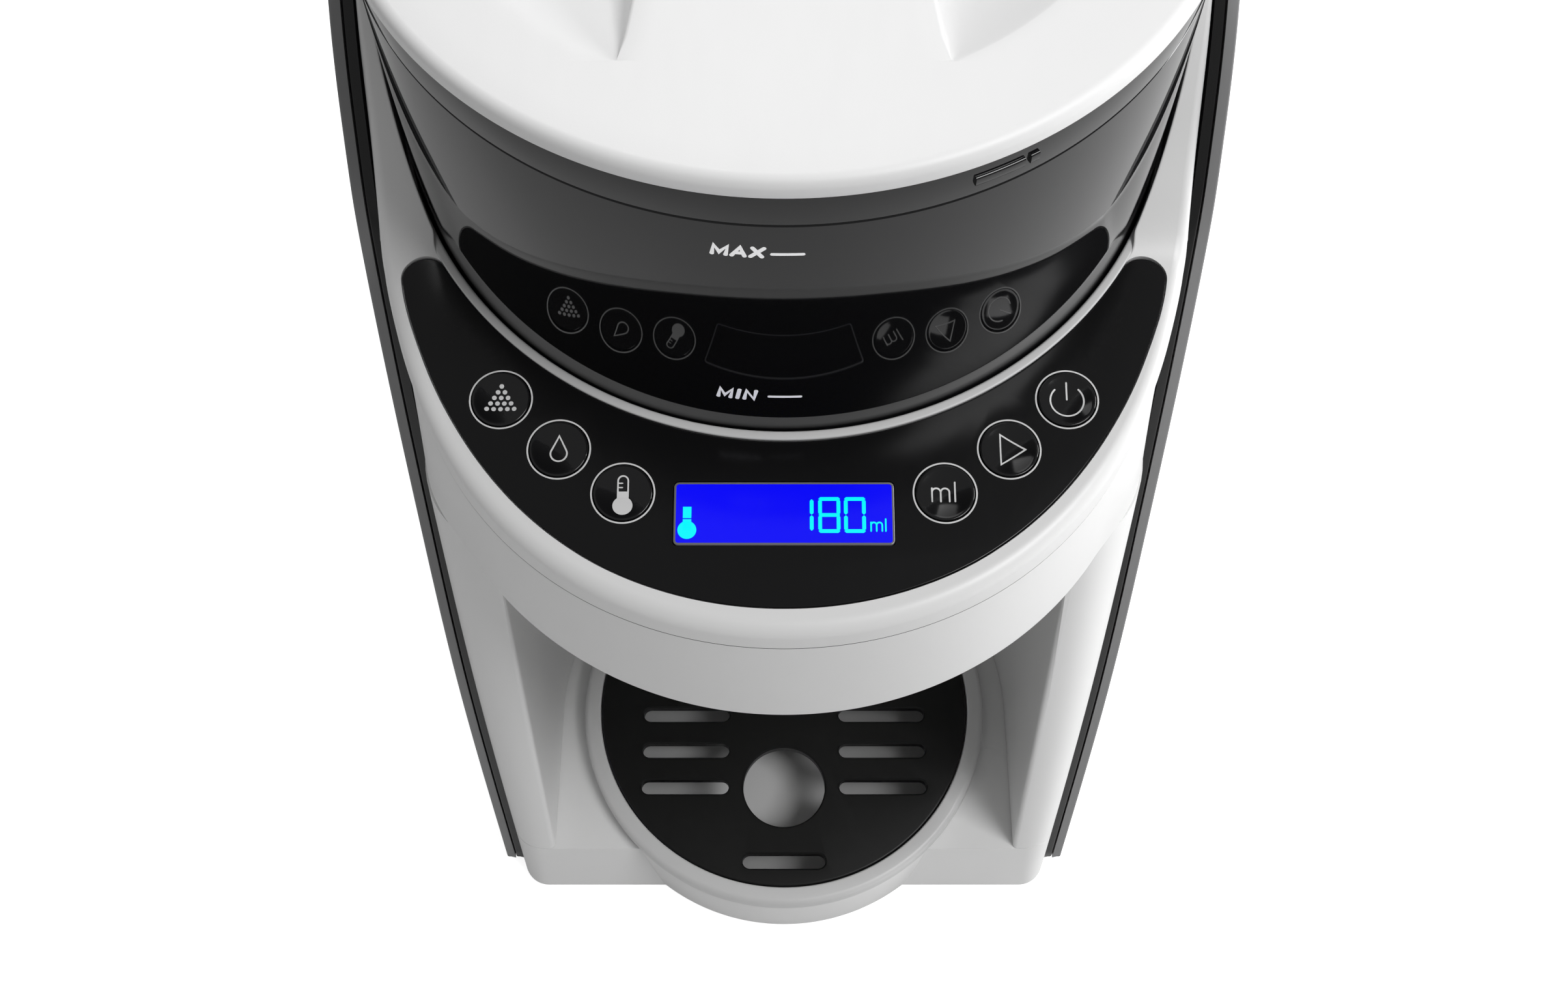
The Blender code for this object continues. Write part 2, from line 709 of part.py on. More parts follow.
def rear_cover():
    """The plate that closes the housing and the cowl from behind."""
    half = BODY_HALF - SHELL_INSET - WALL - GAP
    low, high = BASE_TOP + WALL + 2 * GAP, SEAM_Z - GAP
    cover = box("rear_cover", (-half, HOUSING_BACK_Y - WALL, low), (half, HOUSING_BACK_Y, high), WHITE)
    slot = box("cover_hose_slot", (-TUBE_RADIUS * 2, HOUSING_BACK_Y - 2 * WALL, low - CUT),
               (TUBE_RADIUS * 2, HOUSING_BACK_Y + CUT, SHELF_TOP))
    cut(cover, slot)


def head_ring():
    """The white wall under the deck, from side to side round the front."""
    outer = head_outline(RING_BACK_Y)
    inner = head_outline(RING_BACK_Y, WALL)
    ring = plate("head_ring", [outer + list(reversed(inner))], HEAD_BOTTOM + GAP, SEAM_Z - GAP, WHITE)
    rounded_edges(ring, lambda edge: all(v.co.z < HEAD_BOTTOM + 2 * GAP and on_head_rim(v.co)
                                         for v in edge.verts), RING_LIP_ROUND, 2)


def head_floor():
    """The ceiling of the bay, with the powder chute and the holes for chute and nozzle."""
    outline = head_outline(RING_BACK_Y - CUT, WALL + GAP)
    turn = math.asin((RING_BACK_Y - CUT - TRAY_Y) / (BAY_RADIUS - 2 * GAP))
    tongue = arc(0, TRAY_Y, BAY_RADIUS - 2 * GAP, math.pi - turn, turn, 2 * CORNER_STEPS)
    low, high = HEAD_BOTTOM + GAP, HEAD_BOTTOM + GAP + WALL
    nozzle_hole = circle(NOZZLE_X, NOZZLE_Y, NOZZLE_RADIUS + GAP)
    floor = plate("head_floor", [outline + tongue, nozzle_hole], low, high, WHITE)
    chute_top = SOCKET_FLOOR_Z - GAP
    chute = turned("chute", [(0, chute_top), (CHUTE_RADIUS + CHUTE_WALL, chute_top),
                             (CHUTE_RADIUS + CHUTE_WALL, low + WALL / 2), (0, low + WALL / 2)],
                   steps=SMALL_STEPS, place=(0, OUTLET_Y, 0))
    bore = turned("chute_bore", [(0, chute_top + CUT), (CHUTE_RADIUS, chute_top + CUT),
                                 (CHUTE_RADIUS, low - CUT), (0, low - CUT)],
                  steps=SMALL_STEPS, place=(0, OUTLET_Y, 0))
    join(floor, chute)
    cut(floor, bore)


def crescent(grow=0.0, reach=0.0):
    """The control panel's outline: two arcs joined by round ends, laid on the tilted deck.

    It is grown on all sides, and its inner arc reaches further towards the drum. Each end's
    circle touches both arcs, so its centre is found from its distances to their centres.
    """
    outer, inner = PANEL_RADIUS + grow, PANEL_INNER - grow - reach
    radius = max(PANEL_END_ROUND + grow, GAP)
    far, near = inner + radius, outer - radius
    y = (far ** 2 - near ** 2 + HEAD_Y ** 2) / (2 * HEAD_Y)
    x = math.sqrt(far ** 2 - y ** 2)
    inner_turn, outer_turn = math.atan2(y, x), math.atan2(y - HEAD_Y, x)
    down = -math.pi / 2
    right = arc(0, 0, inner, down, inner_turn, HEAD_STEPS * 2 // 3)
    right += arc(x, y, radius, inner_turn + math.pi, outer_turn, 2 * CORNER_STEPS)[1:]
    right += arc(0, HEAD_Y, outer, outer_turn, down, HEAD_STEPS)[1:]
    return [(x, y / math.cos(DECK_TILT)) for x, y in mirrored(right)]


def top_shell():
    """The tilted deck and the cowl that rises round the back of the drum."""
    back_y = HOUSING_BACK_Y
    plan = plate("top_shell", [head_outline(back_y)], SEAM_Z, LID_TOP + CUT, WHITE)
    nose = HEAD_Y - HEAD_RADIUS - CUT
    above = [y for y in EDGE_Y if edge_z(y) > deck_z(y)]
    below = max(y for y in EDGE_Y if y < above[0])
    short, over = deck_z(below) - edge_z(below), edge_z(above[0]) - deck_z(above[0])
    meet = below + (above[0] - below) * short / (short + over)
    ceiling = [(nose, deck_z(nose)), (meet, deck_z(meet))] + [(y, edge_z(y)) for y in above]
    ceiling.append((back_y + CUT, COWL_TOP))
    crown = side_plate("crown", ceiling + [(back_y + CUT, SEAM_Z - CUT), (nose, SEAM_Z - CUT)],
                       -BODY_HALF, BODY_HALF)
    combine(plan, crown, "INTERSECT")
    rounded_edges(plan, lambda edge: all(v.co.z > SEAM_Z + WALL and v.co.y < back_y - GAP
                                         and on_head_rim(v.co) for v in edge.verts), RIM_ROUND, 2)
    inside = plate("inside_plan", [head_outline(back_y - WALL, WALL)], SEAM_Z - CUT, COWL_TOP)
    inner_ceiling = [(y, z - WALL) for y, z in ceiling]
    under = side_plate("inside_crown", inner_ceiling + [(back_y + CUT, SEAM_Z - 2 * CUT),
                                                        (nose, SEAM_Z - 2 * CUT)], -BODY_HALF, BODY_HALF)
    combine(inside, under, "INTERSECT")
    well = SOCKET_OUTER + GAP
    boss = turned("boss_keeper", [(0, COWL_TOP + CUT), (well + WALL / 2, COWL_TOP + CUT),
                                  (well + WALL / 2, SEAM_Z - 3 * CUT), (0, SEAM_Z - 3 * CUT)])
    cut(inside, boss)
    hole = turned("well_hole", [(0, LID_TOP + 2 * CUT), (well, LID_TOP + 2 * CUT),
                                (well, SEAM_Z - 4 * CUT), (0, SEAM_Z - 4 * CUT)])
    recess = plate("panel_recess", [crescent(GAP, 2 * GAP)], -PANEL_THICKNESS - PANEL_SINK - GAP, CUT)
    window = plate("panel_window", [crescent(-PANEL_LEDGE)], -2 * WALL, CUT)
    cut(plan, inside, hole, on_deck(recess), on_deck(window))


def container_socket():
    """The cup that the drum drops into; its lip is the light ring on the deck."""
    low = SOCKET_FLOOR_Z
    high = deck_z(SOCKET_OUTER) + CUT
    floor = low + SOCKET_FLOOR
    body = turned("container_socket", [(0, floor), (SOCKET_INNER, floor), (SOCKET_INNER, high),
                                       (SOCKET_OUTER, high), (SOCKET_OUTER, low), (0, low)], BRIGHT)
    trim = plate("socket_trim", [rounded_box(0, 0, HEAD_RADIUS + CUT, HEAD_RADIUS + CUT, CUT)],
                 SOCKET_PROUD, HEAD_RADIUS)
    shaft = turned("shaft_hole", [(0, floor + CUT), (JOURNAL_RADIUS + GAP, floor + CUT),
                                  (JOURNAL_RADIUS + GAP, low - CUT), (0, low - CUT)], steps=SMALL_STEPS)
    outlet = turned("socket_outlet", [(0, floor + CUT), (OUTLET_RADIUS + GAP, floor + CUT),
                                      (OUTLET_RADIUS + GAP, low - CUT), (0, low - CUT)],
                    steps=SMALL_STEPS, place=(0, OUTLET_Y, 0))
    cut(body, on_deck(trim), shaft, outlet)


def side_plates():
    """A gloss black trim and a grey panel on each side, cut to the swept edge."""
    outline = list(zip(EDGE_Y.tolist(), EDGE_Z.tolist()))
    outline = [(NOSE_Y, PLATE_BOTTOM)] + outline[1:] + [(HOUSING_BACK_Y, PLATE_BOTTOM)]
    depths = np.linspace(NOSE_Y - CUT, NARROWING_Y, 2 * CORNER_STEPS).tolist() + [HOUSING_BACK_Y + CUT]
    layers = (("side_trim", SHELL_INSET - GAP, SHELL_INSET - GAP - TRIM_THICK, GLOSS_BLACK),
              ("side_panel", PANEL_THICK, 0.0, SIDE_GREY))
    for name, inner, outer, finish in layers:
        for side, sign in (("left", -1), ("right", 1)):
            inside = [(sign * (float(body_half(y)) - inner), y) for y in depths]
            outside = [(sign * (float(body_half(y)) - outer), y) for y in reversed(depths)]
            label = name + "_" + side
            body = plate(label, [inside + outside], PLATE_BOTTOM - CUT, LID_TOP, finish)
            ends = sorted((sign * (NOSE_HALF - CUT * 4), sign * (BODY_HALF + CUT)))
            mask = side_plate(label + "_mask", outline, *ends)
            combine(body, mask, "INTERSECT")


def control_panel():
    """The gloss black crescent with its button holes and display hole."""
    loops = [crescent()]
    loops += [circle(x, y, BUTTON_RADIUS + GAP) for _, x, y in BUTTON_PLACES]
    loops.append(rounded_box(0, DISPLAY_Y, DISPLAY_WIDTH / 2 + GAP, DISPLAY_HEIGHT / 2 + GAP,
                             DISPLAY_CORNER + GAP))
    on_deck(plate("control_panel", loops, -PANEL_THICKNESS - PANEL_SINK, -PANEL_SINK, PANEL_BLACK))


def buttons():
    """Six caps, each dished on top, standing on a stem over the board."""
    top = BUTTON_PROUD
    stem_end = -BOARD_DROP + BUTTON_TRAVEL + GAP
    profile = [(0, top - BUTTON_DOME), (BUTTON_RADIUS - BUTTON_PROUD, top),
               (BUTTON_RADIUS, top - BUTTON_PROUD),
               (BUTTON_RADIUS, top - BUTTON_SKIRT), (BUTTON_STEM_RADIUS, top - BUTTON_SKIRT),
               (BUTTON_STEM_RADIUS, stem_end), (0, stem_end)]
    for label, x, y in BUTTON_PLACES:
        on_deck(turned("button_" + label, profile, PANEL_BLACK, MIDDLE_STEPS), (x, y, 0))


def display():
    """The flush window, with the display module under it standing on the board."""
    window = rounded_box(0, DISPLAY_Y, DISPLAY_WIDTH / 2, DISPLAY_HEIGHT / 2, DISPLAY_CORNER)
    low = -PANEL_THICKNESS - PANEL_SINK
    on_deck(plate("display_window", [window], low, -PANEL_SINK, SCREEN_BLUE))
    margin = DISPLAY_MODULE_MARGIN
    body = plate("display_module", [rounded_box(0, DISPLAY_Y, DISPLAY_WIDTH / 2 + margin,
                                                DISPLAY_HEIGHT / 2 + margin / 2, DISPLAY_CORNER)],
                 low - GAP - DISPLAY_MODULE_MARGIN, low - GAP, SATIN_BLACK)
    legs = plate("module_foot", [rounded_box(0, DISPLAY_Y, DISPLAY_WIDTH / 3, DISPLAY_HEIGHT / 3,
                                             DISPLAY_CORNER)], -BOARD_DROP + GAP, low - margin)
    join(body, on_deck(legs))
    on_deck(body)


def button_board():
    """The board under the panel, on posts from the ledge of the deck."""
    low, high = -BOARD_DROP - BOARD_THICK, -BOARD_DROP
    outline = crescent(-PANEL_LEDGE * 2)
    board = plate("button_board", [outline], low, high, BOARD_GREEN)
    on_deck(board)


def funnel_holder():
    """Two rails under the bay's ceiling that the funnel slides on."""
    low = FUNNEL_TOP - COVER_HEIGHT - FLANGE_THICK - RAIL_THICK - 2 * GAP
    high = HEAD_BOTTOM
    reach = FUNNEL_FLANGE + GAP
    back = TRAY_Y + math.sqrt(BAY_RADIUS ** 2 - (reach + RAIL_THICK) ** 2) - 2 * GAP
    front = FUNNEL_Y - FUNNEL_RADIUS
    body = box("funnel_holder", (-reach - RAIL_THICK, front, low), (reach + RAIL_THICK, back, high), NYLON)
    way = box("flange_way", (-reach, front - CUT, low + RAIL_THICK), (reach, back - RAIL_THICK, high + CUT))
    open_floor = box("holder_opening", (-reach + RAIL_LIP, front - 2 * CUT, low - CUT),
                     (reach - RAIL_LIP, back - 2 * RAIL_THICK, low + RAIL_THICK + CUT / 2))
    cut(body, way, open_floor)


def funnel():
    """The mixing funnel: a square flange on a cone that ends in a spout."""
    top = FUNNEL_TOP - COVER_HEIGHT - GAP
    rim = top - FLANGE_THICK
    under = rim - FUNNEL_DEPTH
    end = under - SPOUT_LENGTH
    skin = FUNNEL_SKIN
    profile = [(FUNNEL_RADIUS - skin, top), (FUNNEL_RADIUS, top), (FUNNEL_RADIUS, rim),
               (SPOUT_RADIUS, under),
               (SPOUT_RADIUS, end), (SPOUT_RADIUS - skin, end), (SPOUT_RADIUS - skin, under + skin / 2),
               (FUNNEL_RADIUS - skin, rim)]
    body = turned("funnel", profile, NYLON, MIDDLE_STEPS, closed=True)
    body.location = (0, FUNNEL_Y, 0)
    flange = plate("funnel_flange", [rounded_box(0, 0, FUNNEL_FLANGE - GAP, FUNNEL_RADIUS - GAP, CUT),
                                     circle(0, 0, FUNNEL_RADIUS - skin / 2, MIDDLE_STEPS)],
                   rim, rim + FLANGE_THICK - GAP)
    flange.location = (0, FUNNEL_Y, 0)
    grip = box("funnel_grip", (-SCRAPER_WIDTH, -FUNNEL_RADIUS - RAIL_LIP, rim - RAIL_LIP),
               (SCRAPER_WIDTH, -FUNNEL_RADIUS + skin / 2, rim + FLANGE_THICK / 2))
    grip.location = (0, FUNNEL_Y, 0)
    join(body, flange, grip)


def funnel_cover():
    """The flat cover on the funnel, with the powder hole and the water hole."""
    low = FUNNEL_TOP - COVER_HEIGHT
    loops = [circle(0, 0, FUNNEL_RADIUS, MIDDLE_STEPS), circle(0, OUTLET_Y - FUNNEL_Y, CHUTE_RADIUS),
             circle(NOZZLE_X, NOZZLE_Y - FUNNEL_Y, 2 * NOZZLE_RADIUS)]
    cover = plate("funnel_cover", loops, low, FUNNEL_TOP, NYLON)
    cover.location = (0, FUNNEL_Y, 0)


def water_nozzle():
    """The outlet that drops water through the ceiling into the funnel."""
    low = HEAD_BOTTOM - RAIL_THICK / 2
    shoulder = HEAD_BOTTOM + 2 * GAP + WALL
    top = shoulder + NOZZLE_HEIGHT
    bore = NOZZLE_RADIUS / 2
    profile = [(bore, top), (NOZZLE_RADIUS, top), (NOZZLE_RADIUS, shoulder + WALL),
               (2 * NOZZLE_RADIUS, shoulder + WALL), (2 * NOZZLE_RADIUS, shoulder),
               (NOZZLE_RADIUS, shoulder), (NOZZLE_RADIUS, low), (bore, low)]
    turned("water_nozzle", profile, NYLON, SMALL_STEPS, (NOZZLE_X, NOZZLE_Y, 0), closed=True)


def powder_container():
    """The smoked drum with its floor, seam, lock marks and powder outlet."""
    floor = DRUM_FLOOR_Z
    half = DRUM_SEAM / 2
    inner = DRUM_RADIUS - DRUM_WALL
    share = (DRUM_SEAM_Z - floor) / (DRUM_TOP - floor)
    seam_radius = DRUM_RADIUS + share * (DRUM_TOP_RADIUS - DRUM_RADIUS)
    profile = [(inner, floor + DRUM_FLOOR), (inner, DRUM_TOP), (DRUM_TOP_RADIUS, DRUM_TOP),
               (seam_radius, DRUM_SEAM_Z + half), (seam_radius - DRUM_SEAM, DRUM_SEAM_Z),
               (seam_radius, DRUM_SEAM_Z - half), (DRUM_RADIUS, floor), (0, floor), (0, floor + DRUM_FLOOR)]
    body = turned("powder_container", profile, SMOKE, closed=True)
    hub = turned("hub_hole", [(0, floor + DRUM_FLOOR + CUT), (HUB_RADIUS + GAP, floor + DRUM_FLOOR + CUT),
                              (HUB_RADIUS + GAP, floor - CUT), (0, floor - CUT)], steps=MIDDLE_STEPS)
    outlet = turned("drum_outlet", [(0, floor + DRUM_FLOOR + CUT), (OUTLET_RADIUS, floor + DRUM_FLOOR + CUT),
                                    (OUTLET_RADIUS, floor - CUT), (0, floor - CUT)],
                    steps=SMALL_STEPS, place=(0, OUTLET_Y, 0))
    top, bottom = LOCK_Z + LOCK_HEIGHT / 2, LOCK_Z - LOCK_HEIGHT / 2
    start, end = LOCK_BAR_ANGLES
    inside, outside = DRUM_RADIUS - DRUM_WALL / 2, DRUM_TOP_RADIUS + LOCK_PROUD
    quarter = math.pi / 2
    bar_line = (arc(0, 0, outside, start - quarter, end - quarter, CORNER_STEPS)
                + arc(0, 0, inside, end - quarter, start - quarter, CORNER_STEPS))
    bar = plate("lock_bar", [bar_line], bottom, top)
    spread = LOCK_DOT_WIDTH / DRUM_RADIUS / 2
    dot_line = (arc(0, 0, outside, LOCK_DOT_ANGLE - spread - quarter, LOCK_DOT_ANGLE + spread - quarter, 2)
                + arc(0, 0, inside, LOCK_DOT_ANGLE + spread - quarter, LOCK_DOT_ANGLE - spread - quarter, 2))
    dot = plate("lock_dot", [dot_line], bottom, top)
    cut(body, hub, outlet)
    join(body, bar, dot)


def dish_floor(radius):
    """Depth of the lid's spherical dish at a radius, below the lid's top."""
    return DISH_DEPTH * max(0, 1 - (radius / DISH_RADIUS) ** 2)


def powder_lid():
    """The lid: a thin disc whose dish is crossed by a wide waisted grip bar."""
    seat = LID_TOP - LID_EDGE
    plug = seat - PLUG_DEPTH
    radii = np.linspace(0, DISH_RADIUS, CORNER_STEPS)
    under = [(float(r), min(LID_TOP - dish_floor(float(r)) - LID_SKIN, seat)) for r in radii]
    edge = [(LID_RADIUS - LID_EDGE_ROUND + LID_EDGE_ROUND * math.sin(a),
             LID_TOP - LID_EDGE_ROUND + LID_EDGE_ROUND * math.cos(a))
            for a in np.linspace(0, math.pi / 2, 3)]
    profile = ([(0, LID_TOP)] + edge + [(LID_RADIUS, seat), (PLUG_RADIUS, seat), (PLUG_RADIUS, plug),
               (PLUG_RADIUS - WALL, plug), (PLUG_RADIUS - WALL, seat)] + list(reversed(under)))
    body = turned("powder_lid", profile, WHITE)
    dish = [(0, LID_TOP + CUT), (DISH_RADIUS, LID_TOP + CUT)]
    dish += [(float(r), LID_TOP - dish_floor(float(r))) for r in reversed(radii)]
    grip_y = np.linspace(-DISH_RADIUS - CUT, DISH_RADIUS + CUT, 2 * CORNER_STEPS - 1)
    grip_x = GRIP_HALF + GRIP_FLARE * (grip_y / DISH_RADIUS) ** 2
    for side, sign in (("left", -1), ("right", 1)):
        scoop = turned("scoop_" + side, dish)
        far = sign * (DISH_RADIUS + 2 * CUT)
        line = [(sign * float(x), float(y)) for x, y in zip(grip_x, grip_y)]
        half = plate("scoop_half_" + side, [line + [(far, line[-1][1]), (far, line[0][1])]],
                     LID_TOP - DISH_DEPTH - CUT, LID_TOP + 2 * CUT)
        combine(scoop, half, "INTERSECT")
        cut(body, scoop)
    under_y = np.linspace(-DISH_RADIUS + WALL, DISH_RADIUS - WALL, CORNER_STEPS + 1)
    under_x = GRIP_HALF + GRIP_FLARE * (under_y / DISH_RADIUS) ** 2 - WALL
    right = [(float(x), float(y)) for x, y in zip(under_x, under_y)]
    hollow = plate("grip_hollow", [right + [(-x, y) for x, y in reversed(right)]],
                   LID_TOP - DISH_DEPTH - 2 * CUT, LID_TOP - LID_SKIN)
    round_room = turned("grip_room", [(0, LID_TOP), (DISH_RADIUS, LID_TOP), (DISH_RADIUS, plug),
                                      (0, plug)])
    combine(hollow, round_room, "INTERSECT")
    cut(body, hollow)


def lid_seal():
    """The soft ring round the lid's plug, which seals against the drum's mouth."""
    z = LID_TOP - LID_EDGE - PLUG_DEPTH / 2
    inner = PLUG_RADIUS + GAP
    outer = DRUM_RADIUS - DRUM_WALL - GAP
    turned("lid_seal", [(inner, z + SEAL_RADIUS), (outer - SEAL_RADIUS, z + SEAL_RADIUS), (outer, z),
                        (inner, z - SEAL_RADIUS)],
           SILICONE, closed=True)


def dosing_wheel():
    """The pocketed wheel that meters powder, with the hub that the drive enters."""
    low = DRUM_FLOOR_Z + DRUM_FLOOR + GAP
    high = low + WHEEL_THICK
    hub_low = DRUM_FLOOR_Z
    hub_high = hub_low + HUB_HEIGHT
    reach = abs(OUTLET_Y)
    turns = [index * 2 * math.pi / POCKETS for index in range(POCKETS)]
    loops = [circle(0, 0, WHEEL_RADIUS, WHEEL_STEPS)]
    loops += [circle(reach * math.sin(a), -reach * math.cos(a), POCKET_RADIUS) for a in turns]
    body = plate("dosing_wheel", loops, low, high, NYLON)
    hub = turned("wheel_hub", [(0, hub_high), (HUB_RADIUS, hub_high), (HUB_RADIUS, hub_low), (0, hub_low)],
                 steps=MIDDLE_STEPS)
    join(body, hub)
    half = DOG_WIDTH / 2 + DOG_ROOM / 2
    socket = box("dog_socket", (-half, -half, hub_low - CUT), (half, half, hub_low + HUB_HEIGHT / 2))
    cut(body, socket)


def stirrer():
    """Three bent wires on a cap over the hub, which keep the powder loose."""
    top = DRUM_FLOOR_Z + HUB_HEIGHT + GAP
    cap = turned("stirrer", [(0, top + HUB_RADIUS), (HUB_RADIUS / 2, top + HUB_RADIUS * 4 / 5),
                             (HUB_RADIUS, top + HUB_RADIUS / 3), (HUB_RADIUS, top), (0, top)],
                 NYLON, SMALL_STEPS)
    middle = top + HUB_RADIUS / 3
    for index in range(STIRRER_ARMS):
        turn = index * 2 * math.pi / STIRRER_ARMS + math.pi / 2
        c, s = math.cos(turn), math.sin(turn)
        run = STIRRER_REACH
        path = [(c * r, s * r, z) for r, z in ((HUB_RADIUS / 2, middle), (run * 3 / 5, middle),
                                               (run * 9 / 10, middle + STIRRER_RISE / 4),
                                               (run, middle + STIRRER_RISE))]
        join(cap, tube("stirrer_arm_" + str(index), path, STIRRER_WIRE))


def scraper():
    """The bridge that levels each pocket before it reaches the outlet."""
    low = DRUM_FLOOR_Z + DRUM_FLOOR + WHEEL_THICK + 2 * GAP
    inner = DRUM_RADIUS - DRUM_WALL
    reach = math.sqrt((inner - GAP) ** 2 - (SCRAPER_WIDTH / 2) ** 2)
    body = box("scraper", (-SCRAPER_WIDTH / 2, -reach, low),
               (SCRAPER_WIDTH / 2, OUTLET_Y + SCRAPER_WIDTH, low + SCRAPER_THICK), SATIN_BLACK)
    post_low = DRUM_FLOOR_Z + DRUM_FLOOR + GAP
    post = box("scraper_post", (-SCRAPER_WIDTH / 2, -reach, post_low),
               (SCRAPER_WIDTH / 2, -WHEEL_RADIUS - GAP, low + SCRAPER_THICK / 2))
    join(body, post)


def gear_outline(teeth, turn):
    """Straight-flanked teeth, thinned by the slack so that they run freely."""
    pitch = TOOTH_MODULE * teeth / 2
    root, tip = pitch - TOOTH_MODULE * 5 / 4, pitch + TOOTH_MODULE * 9 / 10
    tooth = math.pi / teeth
    slack = TOOTH_SLACK / pitch / 2
    points = []
    for index in range(teeth):
        middle = turn + index * 2 * tooth
        for radius, width in ((root, tooth * 7 / 10 - slack), (tip, tooth * 3 / 10 - slack)):
            points.append((radius, middle - width))
        for radius, width in ((tip, tooth * 3 / 10 - slack), (root, tooth * 7 / 10 - slack)):
            points.append((radius, middle + width))
    return [(r * math.cos(a), r * math.sin(a)) for r, a in points]


def gears():
    """The large gear with its shaft and dog, and the motor's pinion beside it."""
    low, high = GEAR_Z, GEAR_Z + GEAR_THICK
    gear = plate("drive_gear", [gear_outline(GEAR_TEETH, math.pi / 2)], low, high, NYLON)
    journal_top = DRUM_FLOOR_Z - GAP
    shaft = turned("gear_shaft", [(0, journal_top), (JOURNAL_RADIUS, journal_top), (JOURNAL_RADIUS, low + GAP),
                                  (SHAFT_RADIUS, low + GAP), (SHAFT_RADIUS, MOUNT_Z - MOUNT_THICK),
                                  (0, MOUNT_Z - MOUNT_THICK)], steps=SMALL_STEPS)
    half = DOG_WIDTH / 2
    dog = box("gear_dog", (-half, -half, journal_top - CUT),
              (half, half, DRUM_FLOOR_Z + HUB_HEIGHT / 2 - DOG_ROOM))
    collar_low = MOUNT_Z + MOUNT_THICK + GAP
    collar = turned("gear_collar", [(0, low + GAP), (JOURNAL_RADIUS, low + GAP), (JOURNAL_RADIUS, collar_low),
                                    (0, collar_low)], steps=SMALL_STEPS)
    join(gear, shaft, dog, collar)
    spacing = TOOTH_MODULE * (GEAR_TEETH + PINION_TEETH) / 2
    turn = -math.pi / 2 + math.pi / PINION_TEETH
    loops = [gear_outline(PINION_TEETH, turn), circle(0, 0, MOTOR_SHAFT_RADIUS + GAP / 3)]
    pinion = plate("drive_pinion", loops, low, high, STEEL)
    pinion.location = (0, spacing, 0)


def motor():
    """The gear motor, hung under its mount, with a shaft up to the pinion."""
    spacing = TOOTH_MODULE * (GEAR_TEETH + PINION_TEETH) / 2
    top = MOUNT_Z - GAP
    low = top - MOTOR_HEIGHT
    bevel = MOTOR_SHAFT_RADIUS
    shaft_top = GEAR_Z + GEAR_THICK
    turned("gear_motor", [(0, shaft_top), (MOTOR_SHAFT_RADIUS, shaft_top), (MOTOR_SHAFT_RADIUS, top),
                          (MOTOR_RADIUS, top), (MOTOR_RADIUS, low + bevel), (MOTOR_RADIUS - bevel, low),
                          (0, low)], STEEL, MIDDLE_STEPS, (0, spacing, 0))


def motor_mount():
    """The bridge that carries motor and gear, on three posts under the socket."""
    spacing = TOOTH_MODULE * (GEAR_TEETH + PINION_TEETH) / 2
    low, high = MOUNT_Z, MOUNT_Z + MOUNT_THICK
    half_x = GEAR_TEETH * TOOTH_MODULE / 2 + 3 * MOUNT_POST_RADIUS
    front = TRAY_Y + BAY_RADIUS + WALL + GAP
    loops = [rounded_box(0, (front + spacing + MOTOR_RADIUS) / 2, half_x, (spacing + MOTOR_RADIUS - front) / 2,
                         MOUNT_POST_RADIUS),
             circle(0, 0, SHAFT_RADIUS + GAP), circle(0, spacing, MOTOR_SHAFT_RADIUS + GAP)]
    body = plate("motor_mount", loops, low, high, STEEL)
    post_x = half_x - MOUNT_POST_RADIUS - GAP
    back = spacing + MOTOR_RADIUS - 2 * MOUNT_POST_RADIUS
    for index, (x, y) in enumerate(((-post_x, 0), (post_x, 0), (post_x, back), (-post_x, back))):
        top = SOCKET_FLOOR_Z - GAP
        post = turned("mount_post_" + str(index), [(0, top), (MOUNT_POST_RADIUS, top),
                                                   (MOUNT_POST_RADIUS, low + MOUNT_THICK / 2),
                                                   (0, low + MOUNT_THICK / 2)], steps=SMALL_STEPS,
                      place=(x, y, 0))
        join(body, post)


def drip_tray():
    """The light tray: a cup whose broad rim rests on the base."""
    rim, lip = TRAY_RADIUS, TRAY_RADIUS - TRAY_LIP
    cup = lip - TRAY_LEDGE
    under = BASE_TOP + GAP
    edge = TRAY_LIP / 3
    ledge = TRAY_TOP - COVER_THICK - GAP
    profile = [(0, TRAY_FLOOR + TRAY_WALL), (cup - TRAY_WALL, TRAY_FLOOR + TRAY_WALL),
               (cup - TRAY_WALL, ledge), (lip, ledge), (lip, TRAY_TOP - edge / 2),
               (lip + edge / 2, TRAY_TOP), (rim - edge, TRAY_TOP), (rim, TRAY_TOP - edge), (rim, under),
               (cup, under), (cup, TRAY_FLOOR), (0, TRAY_FLOOR)]
    turned("drip_tray", profile, BRIGHT, ROUND_STEPS, (0, TRAY_Y, 0))


def slot_line(left, right, y):
    """A slot with round ends along X."""
    radius = SLOT_WIDTH / 2
    return (arc(right - radius, y, radius, -math.pi / 2, math.pi / 2, CORNER_STEPS)
            + arc(left + radius, y, radius, math.pi / 2, 3 * math.pi / 2, CORNER_STEPS))


def drip_tray_cover():
    """The black cover, with rows of slots, an end slot front and back and a round hole."""
    radius = TRAY_RADIUS - TRAY_LIP - GAP
    hole = circle(0, BOTTLE_HOLE_Y - TRAY_Y, BOTTLE_HOLE_RADIUS, MIDDLE_STEPS)
    loops = [circle(0, 0, radius, ROUND_STEPS), hole]
    for y in SLOT_ROWS_Y:
        for sign in (-1, 1):
            ends = sorted((sign * SLOT_INNER_X, sign * SLOT_OUTER_X))
            loops.append(slot_line(*ends, y - TRAY_Y))
    for sign in (-1, 1):
        loops.append(slot_line(-END_SLOT_HALF, END_SLOT_HALF, sign * END_SLOT_REACH))
    cover = plate("drip_tray_cover", loops, TRAY_TOP - COVER_THICK, TRAY_TOP, SATIN_BLACK)
    cover.location = (0, TRAY_Y, 0)


